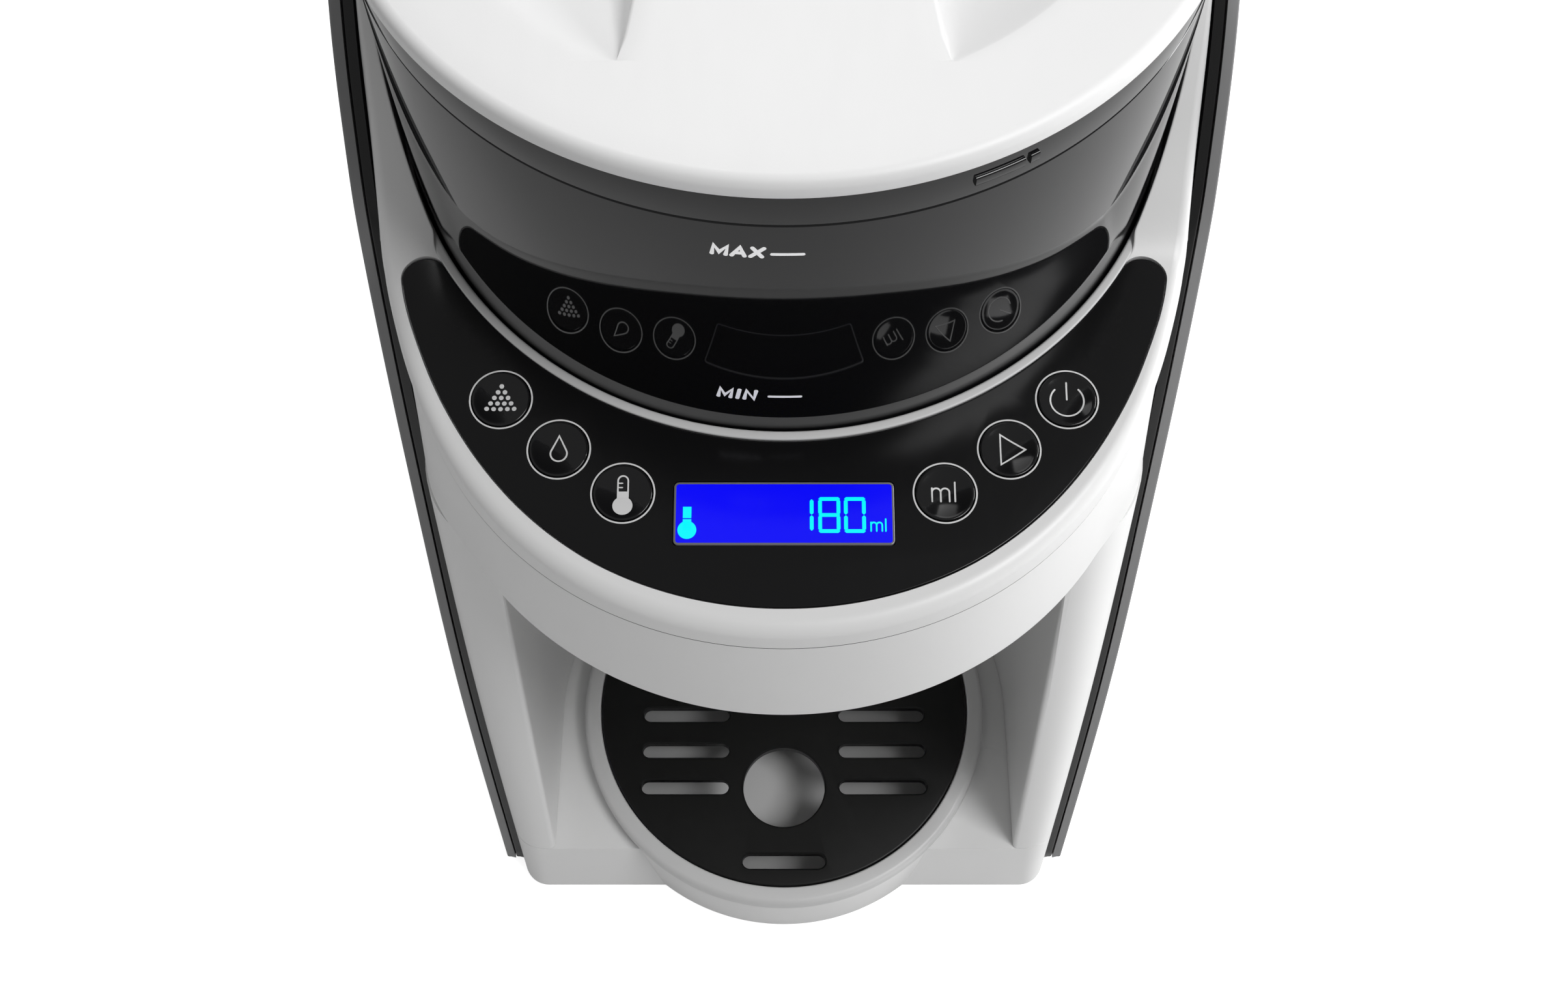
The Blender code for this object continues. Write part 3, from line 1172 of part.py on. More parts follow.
def water_tank():
    """The smoked tank on its shelf, with a finger grip behind and a valve cage inside."""
    floor = SHELF_TOP + GAP
    body = plate("water_tank", [tank_outline(0)], floor, TANK_TOP, SMOKE)
    grip_y = BODY_BACK_Y - TANK_GRIP_DEPTH
    grip_back = box("grip_wall", (-TANK_GRIP_HALF - TANK_WALL, grip_y - TANK_WALL,
                                  TANK_GRIP_Z - TANK_WALL),
                    (TANK_GRIP_HALF + TANK_WALL, BODY_BACK_Y, TANK_GRIP_Z + TANK_GRIP_HEIGHT + TANK_WALL))
    inside = plate("tank_inside", [tank_outline(TANK_WALL)], floor + TANK_WALL, TANK_TOP + CUT)
    cut(inside, grip_back)
    grip = box("tank_grip", (-TANK_GRIP_HALF, grip_y, TANK_GRIP_Z),
               (TANK_GRIP_HALF, BODY_BACK_Y + CUT, TANK_GRIP_Z + TANK_GRIP_HEIGHT))
    hole = turned("valve_hole", [(0, floor + CUT * 2), (VALVE_HOLE, floor + CUT * 2),
                                 (VALVE_HOLE, floor - CUT), (0, floor - CUT)],
                  steps=SMALL_STEPS, place=(0, VALVE_Y, 0))
    cut(body, inside, grip, hole)
    cage_low = floor + TANK_WALL / 2
    cage_top = floor + TANK_WALL + CAGE_HEIGHT
    for index in range(3):
        turn = index * 2 * math.pi / 3
        x, y = CAGE_RADIUS * math.cos(turn), CAGE_RADIUS * math.sin(turn)
        leg = box("cage_leg_" + str(index), (x - CAGE_BAR / 2, y - CAGE_BAR / 2, cage_low),
                  (x + CAGE_BAR / 2, y + CAGE_BAR / 2, cage_top), place=(0, VALVE_Y, 0))
        join(body, leg)
    ring = turned("cage_ring", [(0, cage_top), (CAGE_RADIUS + CAGE_BAR, cage_top),
                                (CAGE_RADIUS + CAGE_BAR, cage_top - CAGE_BAR), (0, cage_top - CAGE_BAR)],
                  steps=SMALL_STEPS, place=(0, VALVE_Y, 0))
    join(body, ring)


def tank_valve():
    """The plug that closes the tank's outlet, with its stem down through the floor."""
    floor = SHELF_TOP + GAP + TANK_WALL
    low = floor + GAP
    stem_end = SHELF_TOP - VALVE_DROP
    guide_top = low + VALVE_HEAD + CAGE_HEIGHT / 3
    turned("tank_valve", [(0, guide_top), (VALVE_STEM, guide_top), (VALVE_STEM, low + VALVE_HEAD),
                          (VALVE_HEAD_RADIUS, low + VALVE_HEAD), (VALVE_HEAD_RADIUS, low),
                          (VALVE_STEM, low), (VALVE_STEM, stem_end), (0, stem_end)],
           SILICONE, SMALL_STEPS, (0, VALVE_Y, 0))


def valve_spring():
    """The coil between the valve's head and the cage, one unbroken wire."""
    low = SHELF_TOP + 2 * GAP + TANK_WALL + VALVE_HEAD + SPRING_WIRE + GAP
    high = SHELF_TOP + GAP + TANK_WALL + CAGE_HEIGHT - CAGE_BAR - SPRING_WIRE - GAP
    count = SPRING_TURNS * SPRING_POINTS
    path = []
    for index in range(count + 1):
        turn = index * 2 * math.pi * SPRING_TURNS / count
        path.append((SPRING_RADIUS * math.cos(turn), SPRING_RADIUS * math.sin(turn),
                     low + (high - low) * index / count))
    coil = tube("valve_spring", path, SPRING_WIRE, STEEL, 1)
    coil.location = (0, VALVE_Y, 0)


def tank_lid():
    """The flat lid of the tank, with a locating lip and a finger dent at its back."""
    low, high = TANK_TOP + GAP, TANK_TOP + GAP + TANK_LID_THICK
    body = plate("tank_lid", [tank_outline(0)], low, high, SATIN_BLACK)
    lip_out = tank_outline(TANK_WALL + GAP)
    lip_in = tank_outline(2 * TANK_WALL + GAP)
    lip = plate("lid_lip", [lip_out, lip_in], low - TANK_LID_LIP, low + TANK_WALL)
    join(body, lip)


def tank_seat():
    """The rubber cup in the shelf that takes the tank's outlet, with its valve pin."""
    top = SHELF_TOP - GAP
    low = SHELF_TOP - SEAT_DEPTH + GAP
    bore = VALVE_HOLE + TANK_WALL / 2
    floor = low + TUBE_RADIUS
    pin_top = SHELF_TOP - VALVE_DROP - GAP
    turned("tank_seat", [(0, pin_top), (SEAT_PIN_RADIUS, pin_top), (SEAT_PIN_RADIUS, floor), (bore, floor),
                         (bore, top), (SEAT_RADIUS, top), (SEAT_RADIUS, low), (0, low)],
           RUBBER, SMALL_STEPS, (0, VALVE_Y, 0))


def pump():
    """The water pump on the housing floor, with an inlet behind and an outlet on top."""
    low = BASE_TOP + 2 * GAP + WALL
    top = low + PUMP_HEIGHT
    body = turned("pump", [(0, top + PORT_LENGTH), (PORT_RADIUS, top + PORT_LENGTH), (PORT_RADIUS, top),
                           (PUMP_RADIUS * 3 / 4, top), (PUMP_RADIUS * 3 / 4, low + PUMP_HEIGHT / 2),
                           (PUMP_RADIUS, low + PUMP_HEIGHT / 2), (PUMP_RADIUS, low), (0, low)],
                  SATIN_BLACK, MIDDLE_STEPS, (PUMP_X, PUMP_Y, 0))
    inlet = tube("pump_inlet", [(PUMP_X + PUMP_RADIUS / 2, PUMP_Y, low + PUMP_HEIGHT / 4),
                                (PUMP_X + PUMP_RADIUS + PORT_LENGTH, PUMP_Y, low + PUMP_HEIGHT / 4)],
                 PORT_RADIUS, sides=3)
    join(body, inlet)


def heater():
    """The steel water heater, an upright can with ports at both ends."""
    low = BASE_TOP + 2 * GAP + WALL
    top = low + HEATER_HEIGHT
    bevel = PORT_RADIUS
    body = turned("heater", [(0, top + PORT_LENGTH), (PORT_RADIUS, top + PORT_LENGTH), (PORT_RADIUS, top),
                             (HEATER_RADIUS - bevel, top), (HEATER_RADIUS, top - bevel),
                             (HEATER_RADIUS, low), (0, low)], STEEL, MIDDLE_STEPS,
                  (HEATER_X, HEATER_Y, 0))
    inlet = tube("heater_inlet", [(HEATER_X - HEATER_RADIUS / 2, HEATER_Y, low + PORT_LENGTH * 2),
                                  (HEATER_X - HEATER_RADIUS - PORT_LENGTH, HEATER_Y, low + PORT_LENGTH * 2)],
                 PORT_RADIUS, sides=3)
    join(body, inlet)


def stub_end(end, neighbour):
    """The point one hose radius along a hose from its end, where its bends may start."""
    run = neighbour - end
    return end + TUBE_RADIUS * run / np.linalg.norm(run)


def smooth_path(points, steps=3):
    """A smooth line through a route's own points, straight for a stub at both ends."""
    route = np.array(points, float)
    first, last = stub_end(route[0], route[1]), stub_end(route[-1], route[-2])
    bends = np.vstack([first, route[1:-1], last])
    padded = np.vstack([2 * bends[0] - bends[1], bends, 2 * bends[-1] - bends[-2]])
    t = np.linspace(0, 1, steps, endpoint=False)[:, None]
    line = [0.5 * (2 * b + (c - a) * t + (2 * a - 5 * b + 4 * c - d) * t ** 2
                   + (3 * b - a - 3 * c + d) * t ** 3)
            for a, b, c, d in zip(padded, padded[1:], padded[2:], padded[3:])]
    return np.vstack([route[:1]] + line + [last[None], route[-1:]]).tolist()


def hoses():
    """Three silicone hoses: seat to pump, pump to heater, heater to nozzle."""
    low = BASE_TOP + 2 * GAP + WALL
    run = 4 * TUBE_RADIUS
    seat_z = SEAT_HOSE_Z
    seat_y = VALVE_Y - SEAT_RADIUS - GAP
    inlet_x = PUMP_X + PUMP_RADIUS + PORT_LENGTH + GAP
    inlet_z = low + PUMP_HEIGHT / 4
    tube("hose_tank_pump", smooth_path([(0, seat_y, seat_z), (0, seat_y - run, seat_z),
                                        (0, PUMP_Y + 2 * run, (seat_z + inlet_z) / 2),
                                        (inlet_x + 2 * run, PUMP_Y + run, inlet_z),
                                        (inlet_x + run, PUMP_Y, inlet_z), (inlet_x, PUMP_Y, inlet_z)]),
         TUBE_RADIUS, SILICONE)
    pump_top = low + PUMP_HEIGHT + PORT_LENGTH + GAP
    heater_x = HEATER_X - HEATER_RADIUS - PORT_LENGTH - GAP
    heater_z = low + PORT_LENGTH * 2
    tube("hose_pump_heater", smooth_path([(PUMP_X, PUMP_Y, pump_top), (PUMP_X, PUMP_Y, pump_top + run),
                                          (PUMP_X / 2, PUMP_Y - run, pump_top + run),
                                          (0, PUMP_Y - 2 * run, (pump_top + heater_z) / 2),
                                          (heater_x - run, HEATER_Y, heater_z),
                                          (heater_x, HEATER_Y, heater_z)]),
         TUBE_RADIUS, SILICONE)
    heater_top = low + HEATER_HEIGHT + PORT_LENGTH + GAP
    nozzle_top = HEAD_BOTTOM + 3 * GAP + WALL + NOZZLE_HEIGHT
    crossing = nozzle_top + run / 2
    tube("hose_heater_nozzle", smooth_path([(HEATER_X, HEATER_Y, heater_top),
                                            (HEATER_X, HEATER_Y, heater_top + run),
                                            (HEATER_X, HEATER_Y - 2 * run, crossing - run),
                                            (HEATER_X, 0, crossing), (HEATER_X - run, -2 * run, crossing),
                                            (NOZZLE_X + run, NOZZLE_Y + run / 2, crossing),
                                            (NOZZLE_X, NOZZLE_Y, nozzle_top + run / 4),
                                            (NOZZLE_X, NOZZLE_Y, nozzle_top)]),
         TUBE_RADIUS, SILICONE)


def power_board():
    """The upright power board with its transformer block."""
    low = BASE_TOP + 2 * GAP + WALL
    place = (POWER_BOARD_X, POWER_BOARD_Y, low)
    board = box("power_board", (-POWER_BOARD_HALF, 0, 0), (POWER_BOARD_HALF, BOARD_THICK, POWER_BOARD_HEIGHT),
                BOARD_GREEN, place)
    coil = box("board_coil", (-COIL_WIDTH / 2, -COIL_DEPTH, POWER_BOARD_HEIGHT / 2),
               (COIL_WIDTH / 2, BOARD_THICK / 2, POWER_BOARD_HEIGHT / 2 + COIL_HEIGHT), place=place)
    join(board, coil)


def power_inlet():
    """The mains inlet in the back of the base: a shroud with two flat pins."""
    back = BODY_BACK_Y - GAP
    low, high = INLET_Z - INLET_TALL / 2, INLET_Z + INLET_TALL / 2
    body = box("power_inlet", (INLET_X - INLET_HALF, back - INLET_DEPTH + GAP, low),
               (INLET_X + INLET_HALF, back, high), SATIN_BLACK)
    mouth_x = INLET_X - INLET_HALF + INLET_WALL
    mouth = box("inlet_mouth", (mouth_x, back - INLET_DEPTH + INLET_WALL, low + INLET_WALL),
                (INLET_X + INLET_HALF - INLET_WALL, back + CUT, high - INLET_WALL))
    cut(body, mouth)
    for sign in (-1, 1):
        x = INLET_X + sign * PIN_SPACING
        pin = box("inlet_pin_" + ("a" if sign < 0 else "b"),
                  (x - PIN_HALF, back - INLET_DEPTH + INLET_WALL / 2, INLET_Z - PIN_HALF),
                  (x + PIN_HALF, back - INLET_DEPTH / 3, INLET_Z + PIN_HALF))
        join(body, pin)


def build():
    for step in (feet, base, base_plate, housing, rear_cover, head_ring, head_floor, top_shell, container_socket,
                 side_plates, control_panel, buttons, display, button_board, funnel_holder, funnel,
                 funnel_cover, water_nozzle, powder_container, powder_lid, lid_seal, dosing_wheel,
                 stirrer, scraper, gears, motor, motor_mount, drip_tray, drip_tray_cover, water_tank,
                 tank_valve, valve_spring, tank_lid, tank_seat, pump, heater, hoses, power_board,
                 power_inlet):
        step()


build()
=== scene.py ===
"""A countertop baby formula maker: white satin shells, a smoked powder drum under a dished lid,
and a gloss black crescent with six buttons and a lit display. Metres; the front faces -Y."""

import json
import math

import bmesh
import bpy
import numpy as np
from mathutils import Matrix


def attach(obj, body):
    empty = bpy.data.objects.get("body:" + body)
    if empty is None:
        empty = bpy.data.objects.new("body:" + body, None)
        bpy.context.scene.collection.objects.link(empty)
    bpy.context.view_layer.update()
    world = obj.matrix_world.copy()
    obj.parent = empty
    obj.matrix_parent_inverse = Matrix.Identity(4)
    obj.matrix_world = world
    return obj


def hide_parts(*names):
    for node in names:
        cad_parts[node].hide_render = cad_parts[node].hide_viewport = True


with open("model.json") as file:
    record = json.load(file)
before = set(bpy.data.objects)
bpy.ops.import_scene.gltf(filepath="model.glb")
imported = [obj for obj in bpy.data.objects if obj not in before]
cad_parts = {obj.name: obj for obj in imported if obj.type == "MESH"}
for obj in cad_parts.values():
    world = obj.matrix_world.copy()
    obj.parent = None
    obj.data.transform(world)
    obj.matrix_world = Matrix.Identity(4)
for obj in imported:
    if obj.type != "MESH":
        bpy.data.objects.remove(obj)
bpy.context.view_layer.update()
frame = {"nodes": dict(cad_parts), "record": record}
SLOTS = {part["node"]: part["material_slot"] for part in frame["record"]["subparts"]}
HOMES = {node: body for body, nodes in frame["record"]["behaviour"]["bodies"].items() for node in nodes}

MM = 0.001
GAP = 0.3 * MM          # between fixed pieces
CUT = 4.0 * MM          # how far a cutter reaches past what it cuts
EDGE_SOFT = 0.08 * MM   # the finest rounding
HAIR = 0.02 * MM        # what keeps two close surfaces apart

# Body outline and heights
BODY_HALF = 0.1065
NOSE_TAPER = 0.0085
NARROWING_Y = -0.0300
NOSE_Y = -0.1350
BODY_BACK_Y = 0.1583
HOUSING_BACK_Y = 0.1125
BACK_CORNER = 0.0280
FOOT_HEIGHT = 0.0030
BASE_TOP = 0.0280
HEAD_BOTTOM = 0.1900
SEAM_Z = 0.2380
SEAM_SHOWN = 0.00007
COWL_TOP = 0.3460
SHELF_TOP = 0.0600
PLATE_BOTTOM = 0.0040
TRIM_THICK = 0.0028
PANEL_THICK = 0.0029
PLATE_SOFT = 0.0007
SHELL_INSET = TRIM_THICK + PANEL_THICK + 2 * GAP
EDGE_SHARES = ((0, 0.012), (0.117, 0.283), (0.234, 0.491), (0.355, 0.705), (0.412, 0.786),
               (0.505, 0.876), (0.658, 0.960), (0.820, 0.996), (1, 1))
WALL = 0.0030

# Bay and tray
TRAY_Y = -0.0883
BAY_RADIUS = 0.0780
BAY_MOUTH_HALF = 0.0795
BAY_LIP = 0.0016
FLAT_HALF = 0.0830
FLAT_DRAW = 0.0050
FLAT_Y = -0.1440
FLAT_LEAN = 0.0470
TRAY_RADIUS = 0.0700
TRAY_TOP = 0.0350
TRAY_FLOOR = 0.0090
TRAY_LIP = 0.0058
TRAY_LEDGE = 0.0032
TRAY_WALL = 0.0022
COVER_THICK = 0.0032
SLOT_ROWS_Y = (-0.0530, -0.0660, -0.0790, -0.0920, -0.1050, -0.1180)
SLOT_X = 0.0340
SLOT_REACH = 0.0125
SLOT_ROUND = 0.0025
SLOT_BEVEL = 0.0009
END_SLOT_Y = 0.0555
END_SLOT_REACH = 0.0115
BOTTLE_HOLE_Y = -0.1180
BOTTLE_HOLE_RADIUS = 0.0140

# Head, deck and panel
HEAD_RADIUS = 0.1000
HEAD_Y = -0.0462
HEAD_DRAW = ((-10, 0), (0, 0.1), (5, 1.1), (10, 2.1), (15, 2.7), (22, 2.9), (30, 2.55), (40, 1.75),
             (50, 0.95), (60, 0.35), (72, 0.05), (90, 0), (100, 0))
PANEL_DRAW = ((-10, -1.0), (0, -1.0), (7, -0.7), (12, -0.05), (16, 0.6), (21, 1.1), (31, 1.42), (40, 1.15),
              (48, 0.65), (56, 0.2), (66, -0.15), (90, 0), (100, 0))
SWEEP_BLEND = 0.0280
SWELL_ANGLES = (10, 34)
RING_BACK_Y = -0.0200
RING_FOOT_ROUND = 0.0024
HEAD_CORNER = 0.0012
DECK_Z = 0.2624
DECK_TILT = math.radians(6.15)
RIM_ROUNDS = ((-0.0500, -0.0200, HOUSING_BACK_Y - 0.0200, HOUSING_BACK_Y - 0.0013),
              (0.0034, 0.0020, 0.0020, 0.0006))
PANEL_RADIUS = 0.0935
PANEL_INNER = 0.0990
PANEL_END_ROUND = 0.0051
PANEL_THICKNESS = 0.0015
PANEL_SINK = 0.0001
PANEL_ROOM = 0.00036
PANEL_LEDGE = 0.0035
WELL_RADIUS = 0.0987

# Drum, its socket and the lid
DRUM_RADIUS = 0.0964
DRUM_TOP_RADIUS = 0.0960
DRUM_WALL = 0.0024
DRUM_FLOOR_Z = 0.2250
DRUM_FLOOR = 0.0030
DRUM_TOP = 0.3448
DRUM_SEAM_Z = 0.3352
DRUM_SEAM = 0.00035
DRUM_BORE = 0.0123
LOCK_Z = 0.3400
LOCK_HEIGHT = 0.0026
LOCK_ANGLES = ((22.7, 29.2), (30.0, 31.2))
MAX_Z = 0.3246
MIN_Z = 0.2668
SOCKET_INNER = 0.0969
SOCKET_OUTER = 0.0984
SOCKET_FLOOR_Z = 0.2190
SOCKET_PROUD = 0.0008
SOCKET_FLOOR = 0.0030
SOCKET_BORE = 0.0078
SOCKET_DROP = 0.0200
SOCKET_LIP_INNER = 0.0966
SOCKET_LIP_OUTER = 0.09895
COWL_REACH = 0.0014
COWL_START = 0.0009
COWL_RISE = 0.0022
COWL_LIP = 0.00045
COWL_FOOT = 0.0015
OUTLET_Y = -0.0700
OUTLET_RADIUS = 0.0085
LID_RADIUS = 0.0970
LID_TOP = 0.3503
LID_SEAT = 0.3453
LID_ROUND = 0.0034
LID_SKIN = 0.0032
DISH_RADIUS = 0.0755
DISH_DEPTH = 0.0150
DISH_EASE = 0.0003
GRIP_HALF = 0.0273
GRIP_FLARE = 0.0065
GRIP_ROUND = 0.0010
GRIP_DRAFT = 0.04
GRIP_CORNER_Y = 0.0681
GRIP_HOLLOW = 0.0725
LID_FACE = 0.0885
PLUG_RADIUS = 0.0905
PLUG_BOTTOM = 0.3353

# Buttons and display on the deck
BUTTONS = {"powder": (-0.0677, -0.0888), "water": (-0.0533, -0.1016), "temperature": (-0.0378, -0.1126),
           "volume": (0.0378, -0.1126), "start": (0.0533, -0.1016), "power": (0.0677, -0.0888)}
BUTTON_RADIUS = 0.0069
CAP_FLAT = BUTTON_RADIUS - 0.5 * MM
CAP_TOP = 0.35 * MM
CAP_DISH = 0.75 * MM
STEM_RADIUS = 0.0020
STEM_FOOT = -0.0107
RING_RADIUS = 0.00745
DISPLAY_Y = -0.1177
DISPLAY_WIDTH = 0.0516
DISPLAY_HEIGHT = 0.0156
DISPLAY_CORNER = 0.0012
DISPLAY_BEVEL = 0.00055
DISPLAY_LOW = -0.0016
DISPLAY_TOP = 0.0001
DISPLAY_FACE = 0.00007
PRINT_THICK = 0.00006

# Tank
TANK_WALL = 0.0025
VALVE_Y = 0.1370
VALVE_HOLE = 0.0045
SEAT_HOLE = 0.0133
INLET_HOLE = ((0.0457, 0.1380, 0.0172), (0.0743, 0.1640, 0.0348))
BASE_HOLLOW_HALF = 0.0970
TANK_TOP = 0.3380
TANK_LID_TOP = 0.3443
CAP_LIP = 0.0060
TANK_GRIP = ((-0.0320, 0.1483, 0.2900), (0.0320, 0.1650, 0.3060))

SHARP = math.radians(32)
FLAT_ENOUGH = math.radians(0.1)
MERGED = 2e-6
GRAIN_DEPTH = 0.0002


def placed(name, data):
    """A new object in the scene."""
    thing = bpy.data.objects.new(name, data)
    bpy.context.scene.collection.objects.link(thing)
    return thing


def place_camera():
    """The camera of the photograph: above the front, looking down steeply."""
    data = bpy.data.cameras.new("camera")
    data.lens, data.sensor_width, data.clip_start = 40.0, 36.0, 0.01
    camera = bpy.context.scene.camera = placed("camera", data)
    camera.location = (0.0, -0.2931, 0.6164)
    camera.rotation_euler = (math.radians(26.31), 0, 0)


# Node groups shared by the materials
def node_group(name, inputs, outputs):
    """An empty group with its sockets: (label, value) for each input, a label for each output."""
    tree = bpy.data.node_groups.new(name, "ShaderNodeTree")
    for label, value in inputs:
        kind = "NodeSocketColor" if isinstance(value, tuple) else "NodeSocketFloat"
        tree.interface.new_socket(label, in_out="INPUT", socket_type=kind).default_value = value
    for label in outputs:
        kind = "NodeSocketColor" if label == "Color" else "NodeSocketFloat"
        tree.interface.new_socket(label, in_out="OUTPUT", socket_type=kind)
    return tree, tree.nodes.new("NodeGroupInput"), tree.nodes.new("NodeGroupOutput")


def feed(tree, socket, value):
    """A number put on a socket, or another socket linked to it."""
    if isinstance(value, (int, float)):
        socket.default_value = value
    else:
        tree.links.new(value, socket)


def noise(tree, scale, detail=2.0, roughness=0.5, stretch=None):
    """A noise over the piece's own coordinates, in cycles a metre."""
    source = tree.nodes.new("ShaderNodeTexCoord").outputs["Object"]
    texture = tree.nodes.new("ShaderNodeTexNoise")
    if stretch:
        mapping = tree.nodes.new("ShaderNodeMapping")
        mapping.inputs["Scale"].default_value = stretch
        tree.links.new(source, mapping.inputs["Vector"])
        source = mapping.outputs["Vector"]
    for label, value in (("Vector", source), ("Scale", scale), ("Detail", detail), ("Roughness", roughness)):
        feed(tree, texture.inputs[label], value)
    return texture.outputs["Fac"]


def math_node(tree, operation, a, b, clamp=False):
    """One sum or product of two values or sockets."""
    node = tree.nodes.new("ShaderNodeMath")
    node.operation, node.use_clamp = operation, clamp
    feed(tree, node.inputs[0], a)
    feed(tree, node.inputs[1], b)
    return node.outputs[0]


def light_path(tree, ray, change, start, socket):
    """A value fed to a socket: the start, changed for one kind of ray."""
    seen = tree.nodes.new("ShaderNodeLightPath").outputs[ray]
    tree.links.new(math_node(tree, "ADD", math_node(tree, "MULTIPLY", seen, change), start), socket)


def grain_group():
    """Spark-eroded mould grain: two sizes of noise as one height."""
    tree, given, made = node_group("mould_grain", [("Scale", 1800.0), ("Waviness", 0.3)], ["Height"])
    wavy = math_node(tree, "MULTIPLY", noise(tree, 60.0, 1.0), given.outputs["Waviness"])
    fine = noise(tree, given.outputs["Scale"], 3.0, 0.6)
    tree.links.new(math_node(tree, "ADD", fine, wavy), made.inputs["Height"])
    return tree


def tone_group():
    """A moulding's colour with a slow, faint change of tone over the surface."""
    tree, given, made = node_group("moulding_tone", [("Color", (0.8, 0.8, 0.8, 1.0)), ("Amount", 0.03)],
                                   ["Color"])
    shift = math_node(tree, "SUBTRACT", noise(tree, 14.0, 3.0, 0.55), 0.5)
    share = math_node(tree, "ADD", math_node(tree, "MULTIPLY", shift, given.outputs["Amount"]), 1.0)
    scaled = tree.nodes.new("ShaderNodeVectorMath")
    scaled.operation = "SCALE"
    tree.links.new(given.outputs["Color"], scaled.inputs[0])
    tree.links.new(share, scaled.inputs["Scale"])
    tree.links.new(scaled.outputs[0], made.inputs["Color"])
    return tree


def handling_group():
    """Roughness raised in soft patches, where hands and cloths have dulled the surface."""
    tree, given, made = node_group("handling", [("Roughness", 0.4), ("Amount", 0.1)], ["Roughness"])
    patches, streaks = noise(tree, 38.0, 4.0, 0.6), noise(tree, 260.0, 2.0, 0.5, (1.0, 0.25, 0.25))
    both = math_node(tree, "MULTIPLY", patches, streaks)
    raised = math_node(tree, "MULTIPLY", both, given.outputs["Amount"])
    tree.links.new(math_node(tree, "ADD", given.outputs["Roughness"], raised, True), made.inputs["Roughness"])
    return tree


def brushed_group():
    """Fine parallel lines, as on drawn steel."""
    tree, given, made = node_group("drawn_lines", [("Scale", 900.0)], ["Height"])
    tree.links.new(noise(tree, given.outputs["Scale"], 2.0, 0.6, (1.0, 1.0, 0.02)), made.inputs["Height"])
    return tree


GRAIN, TONE, HANDLING, BRUSHED = grain_group(), tone_group(), handling_group(), brushed_group()


def place_group(tree, group, **values):
    """One of the shared groups in a material, with this material's own values."""
    node = tree.nodes.new("ShaderNodeGroup")
    node.node_tree = group
    for label, value in values.items():
        node.inputs[label].default_value = value
    return node


def moulding(name, colour, roughness, grain=0.02, scale=1800.0, tone=0.03, handling=0.08,
             specular=0.5, coat=0.0, metallic=0.0, lines=False, glow=0.0):
    """A moulded or metal finish with its grain, its tone and its handling marks."""
    made = bpy.data.materials.new(name)
    made.use_nodes = True
    made.diffuse_color = (*colour, 1.0)
    tree = made.node_tree
    shader, bump = tree.nodes["Principled BSDF"].inputs, tree.nodes.new("ShaderNodeBump")
    toned = place_group(tree, TONE, Color=(*colour, 1.0), Amount=tone)
    worn = place_group(tree, HANDLING, Roughness=roughness, Amount=handling)
    relief = place_group(tree, BRUSHED if lines else GRAIN, Scale=scale)
    for socket, value in ((shader["Metallic"], metallic), (shader["Specular IOR Level"], specular),
                          (shader["Coat Weight"], coat), (shader["Coat Roughness"], 0.04),
                          (shader["Emission Strength"], glow), (bump.inputs["Strength"], grain),
                          (bump.inputs["Distance"], GRAIN_DEPTH),
                          (bump.inputs["Height"], relief.outputs["Height"]),
                          (shader["Base Color"], toned.outputs["Color"]),
                          (shader["Roughness"], worn.outputs["Roughness"]),
                          (shader["Normal"], bump.outputs["Normal"])):
        feed(tree, socket, value)
    return made


def glowing(name, colour, strength):
    """A lit layer behind clear plastic, a little uneven over its area. Reflections leave it dark."""
    made = moulding(name, (0.0, 0.0, 0.0), 0.12, grain=0.0, tone=0.0, handling=0.05)
    made.cycles.emission_sampling = "NONE"
    tree = made.node_tree
    shader = tree.nodes["Principled BSDF"].inputs
    toned = place_group(tree, TONE, Color=(*colour, 1.0), Amount=0.10)
    tree.links.new(toned.outputs["Color"], shader["Emission Color"])
    shader["Emission Strength"].default_value = strength
    light_path(tree, "Is Glossy Ray", -strength, strength, shader["Emission Strength"])
    return made


WHITE = moulding("white_satin_shell", (0.80, 0.80, 0.798), 0.34, grain=0.05, tone=0.02, handling=0.10)
LID_WHITE = moulding("white_satin_lid", (0.82, 0.82, 0.82), 0.42, grain=0.05, tone=0.015, handling=0.10)
LIGHT_GREY = moulding("light_grey_satin", (0.62, 0.62, 0.62), 0.36, grain=0.04, tone=0.03)
SIDE_GREY = moulding("side_grey_satin", (0.215, 0.215, 0.217), 0.36, grain=0.06, tone=0.04, handling=0.12)
GLOSS_BLACK = moulding("gloss_black_trim", (0.006, 0.006, 0.006), 0.10, grain=0.0, handling=0.10)
PANEL_BLACK = moulding("gloss_black_panel", (0.005, 0.005, 0.0053), 0.16, grain=0.004, handling=0.08,
                       specular=0.30)
BUTTON_BLACK = moulding("gloss_black_button", (0.006, 0.006, 0.0065), 0.08, grain=0.0, handling=0.06)
SMOKE = moulding("smoked_gloss_drum", (0.004, 0.004, 0.0045), 0.025, grain=0.0, tone=0.05, handling=0.03)
TANK_SMOKE = moulding("smoked_gloss_tank", (0.012, 0.012, 0.013), 0.06, grain=0.0, tone=0.05)
SATIN_BLACK = moulding("satin_black", (0.004, 0.004, 0.004), 0.36, grain=0.08, tone=0.05, specular=0.3)
PRINT_WHITE = moulding("printed_white", (0.74, 0.74, 0.74), 0.45, grain=0.02)
# The drum's white print also glows faintly: painted light that makes the print look brighter than the lamps
# alone make it.
DRUM_PRINT_PAINTED_GLOW = moulding("printed_white_painted_glow", (0.93, 0.93, 0.93), 0.45, grain=0.02, glow=0.22)
CLEAR_EDGE = moulding("clear_edge", (0.16, 0.16, 0.17), 0.12, grain=0.0, coat=0.6)
RUBBER = moulding("black_rubber", (0.020, 0.020, 0.020), 0.80, grain=0.20, scale=900.0)
SILICONE = moulding("silicone", (0.50, 0.51, 0.52), 0.55, grain=0.06)
NYLON = moulding("natural_nylon", (0.60, 0.60, 0.57), 0.46, grain=0.08, tone=0.06)
